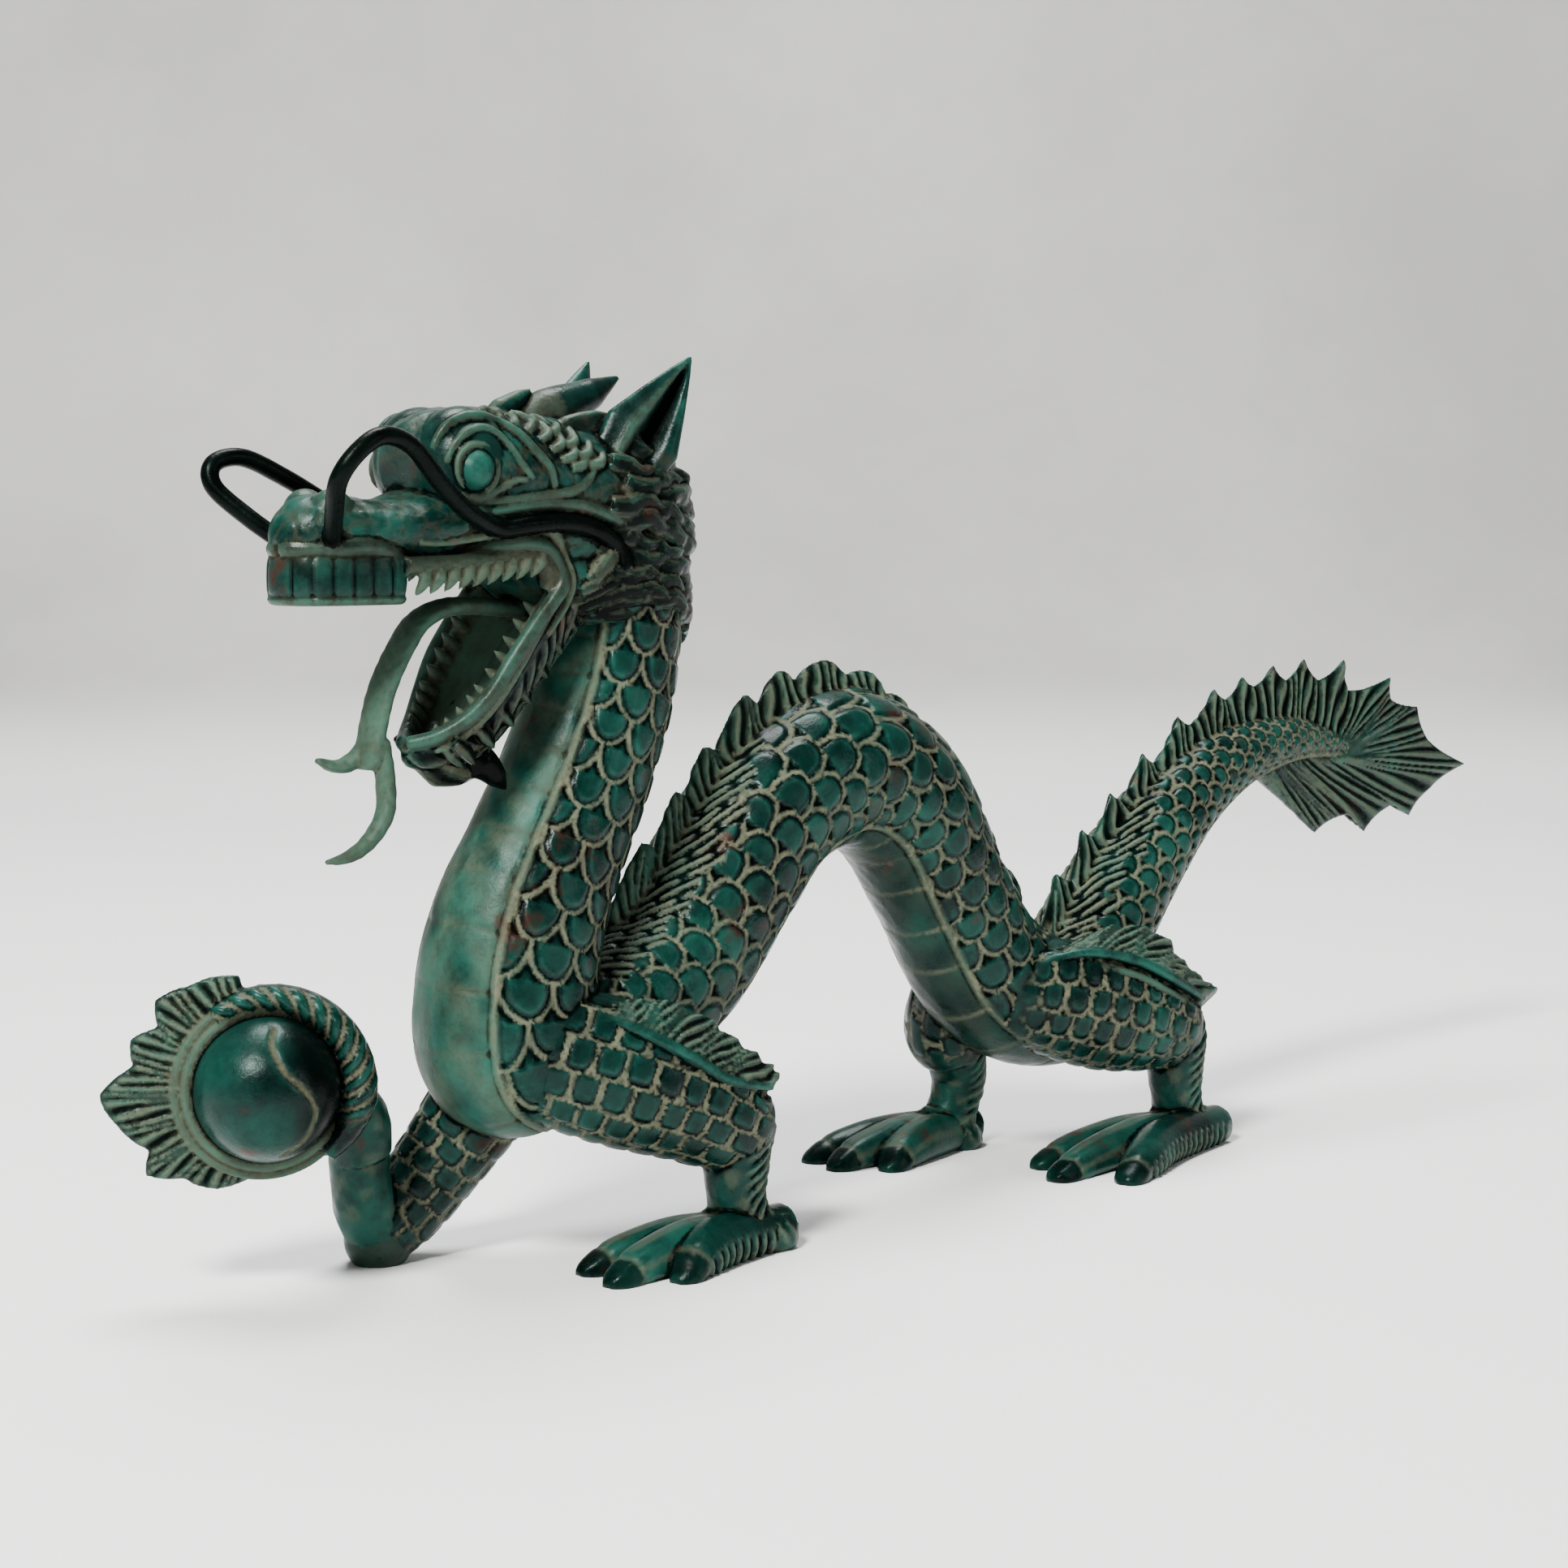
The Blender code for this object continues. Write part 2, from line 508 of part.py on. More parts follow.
def make_jaw():
    """The open lower jaw: a trough with a floor, a raised rim and a row of teeth."""
    line = smooth(scaled([
        (-111, 0, 144, 12.5, 9.0), (-121, 0, 134, 14.0, 8.4), (-130, 0, 123.0, 13.6, 7.4),
        (-136, 0, 115.8, 11.6, 6.6), (-142.5, 0, 111.2, 8.2, 5.0), (-148.5, 0, 110.0, 4.6, 3.0),
        (-151.5, 0, 110.6, 1.6, 1.2),
    ]), 9)
    rings = []
    for i, (centre, across, up) in enumerate(frames(line)):
        half_width, half_height = line[i][3], line[i][4]
        ring = []
        for step in range(9):
            angle = math.pi * step / 8
            ring.append(centre + across * half_width * math.cos(angle)
                        - up * half_height * (1.0 - 2.0 * math.sin(angle)))
        for share, depth in ((-0.74, 0.9), (-0.5, 0.4), (0.0, 0.3), (0.5, 0.4), (0.74, 0.9)):
            ring.append(centre + across * half_width * share - up * half_height * depth)
        rings.append(ring)
    form("lower_jaw", *bridge(rings, Vector(line[0][:3]), Vector(line[-1][:3])))
    for side in (NEAR, FAR):
        for number in range(6):
            sample = resample(line, [0.30 + 0.10 * number])[0]
            frame = frames(resample(line, [0.25 + 0.10 * number, 0.30 + 0.10 * number, 0.35 + 0.10 * number]))[1]
            foot = frame[0] + frame[1] * side * sample[3] * 0.8 - frame[2] * sample[4] * 0.6
            tip = foot - frame[2] * 4.6 * UNIT
            wire("lower_tooth", [foot, tip], TOOTH_RADIUS * 0.72, 4)


def make_teeth():
    """Broad teeth round the front of the upper jaw, then slanted ones back to the corner."""
    front = [(-161.5, 11.0), (-165.8, 10.7), (-170.0, 9.7), (-173.8, 7.9), (-176.8, 5.0), (-178.3, 1.8)]
    for x, y in front:
        for side in (NEAR, FAR):
            wire("front_tooth", [at(x, y * side, 141.6), at(x, y * side, 150.4)], TOOTH_RADIUS * 1.1, 5)
    for number in range(6):
        share = number / 5.0
        x = -155.5 + 27.0 * share
        y = 12.0 + 1.6 * share
        z = 142.9 + 3.6 * share
        for side in (NEAR, FAR):
            wire("side_tooth", [at(x - 1.6, (y - 0.6) * side, z), at(x + 1.8, y * side, z + 6.6)],
                 TOOTH_RADIUS * 0.85, 4)


def make_lips():
    """The raised lip that runs from the nose to the corner of the mouth and down along the jaw."""
    lip = [
        (-175.0, 1.5, 154.5), (-179.8, 2.6, 152.6), (-178.0, 5.8, 152.2), (-173.3, 9.6, 152.2), (-166.5, 11.8, 153.2),
        (-157.5, 13.0, 151.2), (-150, 13.5, 150.4), (-140, 14.4, 151.8), (-130, 15.2, 152.6),
        (-123.0, 15.4, 150.6), (-120.0, 15.0, 146.6), (-121.5, 14.6, 142.0), (-127.5, 14.2, 136.5),
        (-132.6, 13.6, 130.5), (-137.6, 12.2, 123.8), (-142.0, 9.4, 117.8), (-146.6, 5.6, 114.0),
        (-150.6, 1.6, 112.2),
    ]
    smooth_wire("lip", mirrored(lip, NEAR) + mirrored(lip, FAR)[::-1], 46, LIP_RADIUS, 6)


def make_tongue():
    flat = (4.2, 2.0)
    tube("tongue", [
        (-122, 1, 139) + flat, (-138, 1, 140.0) + flat, (-146.6, 1, 137.4) + flat, (-151.6, 1, 131.6) + flat,
        (-155.2, 2, 124) + flat, (-157.2, 2.5, 116.5) + flat, (-158.4, 2.5, 110.5, 4.0, 2.0),
        (-158.6, 2.5, 107.5, 2.4, 1.6),
    ], 9, 8)
    tube("long_fork", [
        (-156.8, 0.8, 113.5, 2.4, 1.8), (-156.2, 0, 105, 2.5, 1.9), (-157.3, -1, 98.5, 2.4, 1.8),
        (-161.5, -1, 93.2, 2.1, 1.6), (-166.5, -1, 90.6, 1.7, 1.3), (-171.6, -1, 90.0, 0.7, 0.6),
    ], 8, 6)
    tube("short_fork", [
        (-157.6, 3.6, 113.5, 2.2, 1.8), (-160.0, 5.0, 109.6, 2.3, 1.9), (-164.0, 6.0, 108.2, 2.0, 1.5),
        (-168.6, 6.4, 109.8, 0.7, 0.7),
    ], 6, 6)


def make_whiskers():
    """A thin bar on each side that loops from the nose up and back to the cheek, and runs on over it."""
    near = [
        (-173.8, -8.0, 153.6), (-177.5, -14, 159.5), (-180.4, -20, 165.9), (-177.1, -22, 171.3),
        (-171.4, -22, 174.2), (-164.0, -21, 172.2), (-155.8, -19, 165.2), (-147.5, -17, 159.4),
        (-140.9, -15, 155.8), (-131.4, -15.6, 156.0), (-117.5, -16.6, 156.3), (-108.8, -16.6, 152.9),
        (-104.0, -15.6, 147.5),
    ]
    far = [
        (-174.0, 8.0, 153.2), (-179.0, 13, 158.2), (-183.6, 18.5, 164.4), (-182.6, 20, 169.0),
        (-176.0, 19.5, 170.2), (-166.3, 18.5, 166.0), (-155.8, 18, 160.5), (-147.5, 16.6, 157.2),
        (-140.9, 15, 155.6), (-131.4, 15.6, 156.0), (-117.5, 16.6, 156.3), (-108.8, 16.6, 152.9),
        (-104.0, 15.6, 147.5),
    ]
    for stations in (near, far):
        smooth_wire("whisker", stations, 26, WHISKER_RADIUS, 8)


def make_ears():
    """Tall pointed ears with a hollow that opens forwards and outwards."""
    for side in (NEAR, FAR):
        root = Vector((-104, 12.5 * side, 168))
        tip = Vector((-88.6, 17 * side, 191.8))
        axis = (tip - root).normalized()
        outward = Vector((-0.35, 0.94 * side, 0.0)).normalized()
        across = axis.cross(outward).normalized()
        outward = across.cross(axis).normalized() * (1 if across.cross(axis).dot(outward) > 0 else -1)
        rings = []
        for share, width, depth in ((0.0, 8.0, 4.5), (0.3, 9.1, 4.4), (0.6, 5.6, 3.2), (0.85, 2.3, 1.7)):
            centre = root + (tip - root) * share
            hollow = -0.25 if share else 0.6
            ring = [centre + across * width, centre + across * width * 0.55 + outward * depth * 0.55,
                    centre + outward * depth * hollow, centre - across * width * 0.55 + outward * depth * 0.55,
                    centre - across * width, centre - across * width * 0.6 - outward * depth,
                    centre + across * width * 0.6 - outward * depth]
            rings.append([point * UNIT for point in ring])
        form("ear", *bridge(rings, (root - axis * 3) * UNIT, tip * UNIT))


def make_locks():
    """The crest, the brows' flames, the mane and the beard."""
    lock("crest", (-122, 0, 176), (-107, 0, 181.5), (-94.0, 0, 187.2), 5.0, 5)
    for side in (NEAR, FAR):
        for number in range(6):
            angle = math.radians(76 - 18 * number)
            hook = angle - math.radians(20)
            lock("brow", (-142 + 9 * math.cos(angle), 11.5 * side, 167.5 + 9 * math.sin(angle)),
                 (-142 + 15 * math.cos(angle), 13.8 * side, 167.5 + 12.5 * math.sin(angle)),
                 (-142 + 24.5 * math.cos(hook), 14.2 * side, 168.0 + 17.0 * math.sin(hook)), 2.6)
        for row in range(5):
            top = 170 - 8.0 * row
            lock("mane", (-106, 13.5 * side, top), (-94, 14.2 * side, top - 3.0 - row * 0.5),
                 (-86.0, 9.0 * side, top - 4.0 - 1.2 * row), 4.2)
            lock("mane", (-96, 8.0 * side, top + 3.5), (-86.5, 7.5 * side, top - 2.5),
                 (-79.0 - 0.8 * abs(row - 2), 3.0 * side, top - 6.0 - row), 4.2)
        for number, (x, z) in enumerate(((-118, 134), (-124, 127), (-130, 119.5), (-137, 113.5), (-143, 110.5))):
            lock("beard", (x - 5, 8.5 * side, z + 2), (x, 8.0 * side, z - 2.5),
                 (x + 5.0, 5.0 * side, z - 5.5), 3.2)
    lock("chin_spike", (-138, -2, 110), (-133, -3, 107), (-128.6, -4, 102.0), 3.4, 5)
    lock("chin", (-147, 0, 110), (-140, 0, 107), (-133, 0, 105), 4.6, 5)
    lock("nape", (-93, 0, 166), (-86, 0, 160), (-80.5, 0, 152), 5.2, 5)


def sole_cutter():
    """A slab under the figure, which cuts the rounded soles flat."""
    bpy.ops.mesh.primitive_cube_add(size=1.0)
    ground = bpy.context.object
    ground.name = "ground_cutter"
    ground.dimensions = (2 * LENGTH, LENGTH, 0.2 * LENGTH)
    ground.location = (0.0, 0.0, SOLE_DEPTH - 0.1 * LENGTH)
    ground.hide_render = True
    ground.display_type = "WIRE"
    for holder in ground.users_collection:
        holder.objects.unlink(ground)
    cutters.objects.link(ground)
    return ground


def evaluated_mesh(made):
    bpy.context.view_layer.update()
    depsgraph = bpy.context.evaluated_depsgraph_get()
    return bpy.data.meshes.new_from_object(made.evaluated_get(depsgraph))


def fused(name):
    """One closed mesh out of all the forms: melted together, thinned out, and its soles cut flat."""
    gathered = bmesh.new()
    for part in list(forms.objects):
        gathered.from_mesh(part.data)
        bpy.data.objects.remove(part)
    mesh = bpy.data.meshes.new(name)
    gathered.to_mesh(mesh)
    gathered.free()
    body = bpy.data.objects.new(name, mesh)
    sculpture.objects.link(body)
    melt = body.modifiers.new("melt", "REMESH")
    melt.mode = "VOXEL"
    melt.voxel_size = MELT_SIZE
    melt.adaptivity = 0.0
    melted = evaluated_mesh(body)
    keep_largest_shell(melted)
    body.modifiers.clear()
    body.data = melted
    thin_out = body.modifiers.new("fewer faces", "DECIMATE")
    thin_out.ratio = min(1.0, MOST_TRIANGLES / len(melted.polygons))
    cut = body.modifiers.new("soles", "BOOLEAN")
    cut.operation = "DIFFERENCE"
    cut.object = sole_cutter()
    cut.solver = "EXACT"
    finished = evaluated_mesh(body)
    body.modifiers.clear()
    body.data = finished
    return body


def keep_largest_shell(mesh):
    """Fills the closed pockets that crossing locks leave, by keeping the outer surface alone."""
    work = bmesh.new()
    work.from_mesh(mesh)
    bmesh.ops.triangulate(work, faces=work.faces)
    seen = set()
    shells = []
    for start in work.verts:
        if start in seen:
            continue
        shell = []
        queue = [start]
        seen.add(start)
        while queue:
            vertex = queue.pop()
            shell.append(vertex)
            for edge in vertex.link_edges:
                other = edge.other_vert(vertex)
                if other not in seen:
                    seen.add(other)
                    queue.append(other)
        shells.append(shell)
    shells.sort(key=len)
    for shell in shells[:-1]:
        bmesh.ops.delete(work, geom=shell, context="VERTS")
    work.to_mesh(mesh)
    work.free()


def centre_on_underside(mesh):
    """Moves the mesh so that the middle of its box's underside is the origin."""
    low = [min(vertex.co[axis] for vertex in mesh.vertices) for axis in range(3)]
    high = [max(vertex.co[axis] for vertex in mesh.vertices) for axis in range(3)]
    shift = Vector(((low[0] + high[0]) / 2, (low[1] + high[1]) / 2, low[2]))
    for vertex in mesh.vertices:
        vertex.co -= shift


def bronze():
    material = bpy.data.materials.new("green_bronze")
    material.use_nodes = True
    shader = material.node_tree.nodes["Principled BSDF"]
    shader.inputs["Base Color"].default_value = (0.035, 0.150, 0.120, 1.0)
    shader.inputs["Metallic"].default_value = 0.75
    shader.inputs["Roughness"].default_value = 0.48
    return material


for old in list(bpy.data.objects):
    bpy.data.objects.remove(old)
forms = bpy.data.collections.new("forms")
cutters = bpy.data.collections.new("cutters")
sculpture = bpy.data.collections.new("dragon_sculpture")
for collection in (forms, cutters, sculpture):
    bpy.context.scene.collection.children.link(collection)

make_body()
make_fins()
make_legs()
make_pearl()
make_skull()
make_jaw()
make_teeth()
make_lips()
make_tongue()
make_whiskers()
make_ears()
make_locks()

dragon = fused("dragon")
centre_on_underside(dragon.data)
dragon.data.materials.clear()
dragon.data.materials.append(bronze())
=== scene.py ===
"""A cast bronze dragon with a green patina: the fine surface around its plain solid.

The forms are written in the sculptor's frame: the dragon faces -x, its left side is -y, its median
plane is y = 0 and its soles are at z = 0. A length there is a unit, of which the figure is 426.7 long.
Each form is a fine grid with its own relief. The forms are melted into four meshes, which run into
one another as the parts of the real casting do.
"""
import math

import bpy
import numpy as np
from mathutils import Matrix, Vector
from mathutils.bvhtree import BVHTree
from mathutils.kdtree import KDTree


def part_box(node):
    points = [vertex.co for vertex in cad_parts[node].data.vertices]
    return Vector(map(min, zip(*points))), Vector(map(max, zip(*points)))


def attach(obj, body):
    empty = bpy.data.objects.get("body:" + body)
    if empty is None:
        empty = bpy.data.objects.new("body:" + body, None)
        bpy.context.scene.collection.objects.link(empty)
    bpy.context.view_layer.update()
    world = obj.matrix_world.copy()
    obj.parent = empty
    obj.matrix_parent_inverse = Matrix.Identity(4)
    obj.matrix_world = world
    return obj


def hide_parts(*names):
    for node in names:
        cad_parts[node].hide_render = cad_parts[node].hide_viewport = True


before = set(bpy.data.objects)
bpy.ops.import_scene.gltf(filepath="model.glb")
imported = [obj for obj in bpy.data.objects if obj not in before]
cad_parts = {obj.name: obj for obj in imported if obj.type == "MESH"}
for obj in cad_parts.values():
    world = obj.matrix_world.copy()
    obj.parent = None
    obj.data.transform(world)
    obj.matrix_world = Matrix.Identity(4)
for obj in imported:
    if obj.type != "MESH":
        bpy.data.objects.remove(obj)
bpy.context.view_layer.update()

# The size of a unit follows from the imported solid
UNITS_LONG = 426.7
low_corner, high_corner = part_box("dragon")
UNIT = (high_corner.x - low_corner.x) / UNITS_LONG

COARSER = 1.0
FINE = 0.45 * COARSER     # spacing of a form's grid, in units
SOLE_HEIGHT = 1.2         # where the rounded feet are pressed flat

SIDEWAYS = np.array((0.0, 1.0, 0.0))
UPWARDS = np.array((0.0, 0.0, 1.0))
NEAR, FAR = -1, 1         # the dragon's left and right side
PEARL_RADIUS = 14.7
WHISKER_RADIUS = 1.9
FIN_EDGE, FIN_ROOT = 1.4, 5.6
LIP_RADIUS = 1.7
RAY_RISE = 0.50           # how far the rays of a fin stand out of its sides

# Stations of the body: x, y, z, half width, half height
NECK = [
    (-94, 0, 150, 13.6, 13.6), (-96.5, 0, 137, 14.4, 14.6), (-100, 0, 121, 15.0, 15.4),
    (-107, 0, 104, 15.4, 16.0), (-115.5, 0, 88, 16.0, 16.8), (-122.5, 0, 74, 17.5, 18.2),
    (-126, 0, 60, 18.6, 19.0), (-125, 0, 46, 19.0, 19.0), (-117, 0, 36, 15.0, 12.0),
]
TRUNK = [
    (-122, 0, 44, 14.5, 13.5), (-110, 0, 46, 17.0, 16.5), (-94, 0, 51.5, 17.5, 17.0),
    (-79, 0, 62, 17.2, 17.2), (-65, 0, 78, 16.8, 17.0), (-50, 0, 93, 16.6, 17.0),
    (-29, 0, 100, 16.8, 18.0), (-10.5, 0, 91, 16.8, 17.6), (4.0, 0, 69.7, 15.3, 16.3),
    (18.2, 0, 49.3, 16.0, 16.8), (35.5, 0, 39, 17.2, 16.3), (54, 0, 38, 16.0, 14.0),
    (68, 0, 44, 9.0, 8.0),
]
TAIL = [
    (46, 0, 38, 12.5, 13.0), (56, 0, 48, 14.0, 14.0), (66, 0, 60, 13.2, 13.2),
    (78, 0, 72.5, 12.2, 12.2), (92, 0, 84, 10.6, 10.8), (108, 0, 92, 8.8, 9.2),
    (124, 0, 96, 7.0, 7.6), (141, 0, 97, 5.0, 5.8), (158, 0, 94.5, 2.6, 3.2),
    (167, 0, 92.0, 0.7, 0.9),
]
BELLY_HALF_ANGLE = math.radians(46)

# Paint channels of a point: tan dust along the edges; near black, which is painted shade in hollows,
# grooves and on shadowed sides, and the own dark colour of whiskers and claws; and bright verdigris,
# which is partly a painted highlight. A tint gives all three.
TAN, SHADE, BRIGHT = 0, 1, 2
UNPAINTED = (0.0, 0.0, 0.0)


class Clay:
    """Collects the forms as points, faces and the paint of each point."""

    def __init__(self):
        self.points = []
        self.paint = []
        self.quads = []
        self.triangles = []
        self.count = 0

    def add(self, grid, paint, start, end):
        """A grid of rings, closed around, and closed by a fan to a point at either end."""
        rows, columns = grid.shape[:2]
        index = self.count + np.arange(rows * columns).reshape(rows, columns)
        turned = np.roll(index, -1, axis=1)
        self.quads.append(np.stack(
            [index[:-1], turned[:-1], turned[1:], index[1:]], axis=-1).reshape(-1, 4))
        first = self.count + rows * columns
        self.triangles += [np.stack([np.full(columns, first), turned[0], index[0]], axis=-1),
                           np.stack([np.full(columns, first + 1), index[-1], turned[-1]], axis=-1)]
        self.points += [grid.reshape(-1, 3), np.array([start, end])]
        self.paint += [paint.reshape(-1, 3), np.array([paint[0].mean(0), paint[-1].mean(0)])]
        self.count = first + 2

    def mesh(self, name):
        """All forms as one mesh, in units."""
        return mesh_of(name, *map(np.concatenate, (self.points, self.quads, self.triangles)))


def mesh_of(name, points, quads, triangles):
    made = bpy.data.meshes.new(name)
    made.vertices.add(len(points))
    made.vertices.foreach_set("co", points.astype(np.float32).ravel())
    corners = np.concatenate([quads.ravel(), triangles.ravel()]).astype(np.int32)
    sizes = np.concatenate([np.full(len(quads), 4), np.full(len(triangles), 3)])
    starts = np.concatenate([[0], np.cumsum(sizes)[:-1]]).astype(np.int32)
    made.loops.add(len(corners))
    made.loops.foreach_set("vertex_index", corners)
    made.polygons.add(len(sizes))
    made.polygons.foreach_set("loop_start", starts)
    made.update(calc_edges=True)
    return made


def unit_rows(vectors):
    return vectors / np.maximum(np.linalg.norm(vectors, axis=-1, keepdims=True), 1e-9)


def lengths_along(points):
    steps = np.linalg.norm(np.diff(points[:, :3], axis=0), axis=1)
    return np.concatenate([[0.0], np.cumsum(steps)])


def spline(stations, step):
    """Evenly spaced samples, about a step apart, of the Catmull-Rom curve through the stations."""
    knots = np.array(stations, float)
    last = len(knots) - 1
    share = np.linspace(0.0, last, 24 * last + 1)
    i = np.minimum(share.astype(int), last - 1)
    t = (share - i)[:, None]
    a, b = knots[np.maximum(i - 1, 0)], knots[i]
    c, d = knots[i + 1], knots[np.minimum(i + 2, last)]
    curve = 0.5 * (2 * b + (c - a) * t + (2 * a - 5 * b + 4 * c - d) * t ** 2
                   + (3 * b - a - 3 * c + d) * t ** 3)
    run = lengths_along(curve)
    count = max(4, int(run[-1] / step) + 1)
    goals = np.linspace(0.0, run[-1], count)
    return np.stack([np.interp(goals, run, curve[:, k]) for k in range(knots.shape[1])], axis=1)


def bump(distance, width):
    """1 on a line, falling off smoothly within about the width."""
    return np.exp(-(distance / width) ** 2)


def ramp(value, low, high):
    """0 below low, 1 above high, smooth between."""
    share = np.clip((value - low) / (high - low), 0.0, 1.0)
    return share * share * (3 - 2 * share)


def wobble(a, b, size):
    """A smooth irregular field, between about -1 and 1, of features of that size."""
    a, b = a / size, b / size
    first = np.sin(1.7 * a + 2.3 * np.sin(0.9 * b + 0.4))
    return 0.5 * (first + np.sin(2.1 * b - 1.3 + 1.9 * np.sin(1.1 * a)))


def blend(first, second, share):
    return first * (1 - share) + share * second


def cross_frames(line, side):
    """The centre of each ring of a tube, and its directions across and up."""
    centre = line[:, :3]
    tangent = unit_rows(np.gradient(centre, axis=0))
    up = unit_rows(np.cross(tangent, side))
    return centre, np.cross(up, tangent), up


def painted(shape, tint, channels):
    """The paint of a grid: its tint, and on top of it what the relief gives for each channel."""
    paint = np.zeros(shape) + np.array(tint)
    for channel, value in channels.items():
        paint[..., channel] = np.clip(paint[..., channel] + value, 0.0, 1.0)
    return paint


def loft(stations, relief, side=SIDEWAYS, tint=UNPAINTED):
    """Adds a tube of elliptic rings through stations of x, y, z, half width and half height.

    The relief gets, for each point, the run along the tube, the angle from its back, the radius and
    the whole length. It returns how far the point is lifted, and its paint.
    """
    line = spline(stations, FINE)
    centre, across, up = cross_frames(line, side)
    columns = max(10, int(2 * math.pi * line[:, 3:5].max() / FINE))
    angle = np.linspace(-math.pi, math.pi, columns, endpoint=False)[None, :]
    run = lengths_along(line)[:, None]
    width, height = line[:, 3:4], line[:, 4:5]
    lift, channels = relief(run, angle, 0.5 * (width + height), run[-1, 0])
    grid = (centre[:, None, :] + across[:, None, :] * ((width + lift) * np.sin(angle))[..., None]
            + up[:, None, :] * ((height + lift) * np.cos(angle))[..., None])
    clay.add(grid, painted(grid.shape, tint, channels), centre[0], centre[-1])


def wire(points, radius, tint, taper=1.0):
    """Adds a round bar through the points, without twist. Taper is its ends' share of the radius."""
    line = spline(points, FINE)
    tangent = unit_rows(np.gradient(line, axis=0))
    across = np.zeros_like(line)
    first = np.cross(tangent[0], (0.31, 0.53, 0.79))
    for i, direction in enumerate(tangent):
        first = first - direction * first.dot(direction)
        first = first / np.linalg.norm(first)
        across[i] = first
    up = np.cross(tangent, across)
    columns = max(8, int(2 * math.pi * radius / FINE))
    angle = np.linspace(-math.pi, math.pi, columns, endpoint=False)[None, :, None]
    share = np.linspace(0.0, 1.0, len(line))[:, None, None]
    swell = taper + (1 - taper) * np.sin(math.pi * share) ** 0.6
    ring = across[:, None, :] * np.sin(angle) + up[:, None, :] * np.cos(angle)
    grid = line[:, None, :] + ring * radius * swell
    clay.add(grid, painted(grid.shape, tint, {}), line[0], line[-1])


def lock(points, radius, flutes, depth, tint, side=SIDEWAYS):
    """Adds a tapering lock of hair, a horn or a claw, with grooves along it."""
    knots = np.array(points, float)
    line = spline(knots, FINE)
    share = lengths_along(line) / lengths_along(line)[-1]
    thick = radius * np.interp(share, (0.0, 0.35, 0.75, 1.0), (0.7, 1.0, 0.62, 0.10))

    def grooved(run, angle, reach, length):
        wave = np.cos(flutes * angle + 0.08 * run)
        # Tan dust on the ridges, and painted shade in the grooves.
        return depth * radius * wave * (reach / radius), {
            TAN: 0.2 * (wave > 0.5), SHADE: 0.5 * (wave < -0.3)}

    heading = knots[-1] - knots[0]
    if abs(heading[1]) > 0.8 * np.linalg.norm(heading):
        side = UPWARDS
    loft(np.column_stack([line, thick, thick]), grooved, side, tint)


def orb(centre, radii, relief=None, tint=UNPAINTED):
    """Adds an ellipsoid. The relief gets the unit directions and returns a lift and the paint."""
    rows = max(8, int(math.pi * max(radii) / FINE))
    tilt = np.linspace(0.0, math.pi, rows + 2)[1:-1, None]
    turn = np.linspace(0.0, 2 * math.pi, 2 * rows, endpoint=False)[None, :]
    heading = np.stack([np.sin(tilt) * np.cos(turn), np.sin(tilt) * np.sin(turn),
                        np.cos(tilt) * np.ones_like(turn)], axis=-1)
    lift, channels = relief(heading) if relief else (np.zeros(heading.shape[:2]), {})
    grid = np.array(centre) + heading * (np.array(radii) + lift[..., None])
    pole = np.array((0.0, 0.0, radii[2]))
    clay.add(grid, painted(grid.shape, tint, channels), np.array(centre) + pole, np.array(centre) - pole)


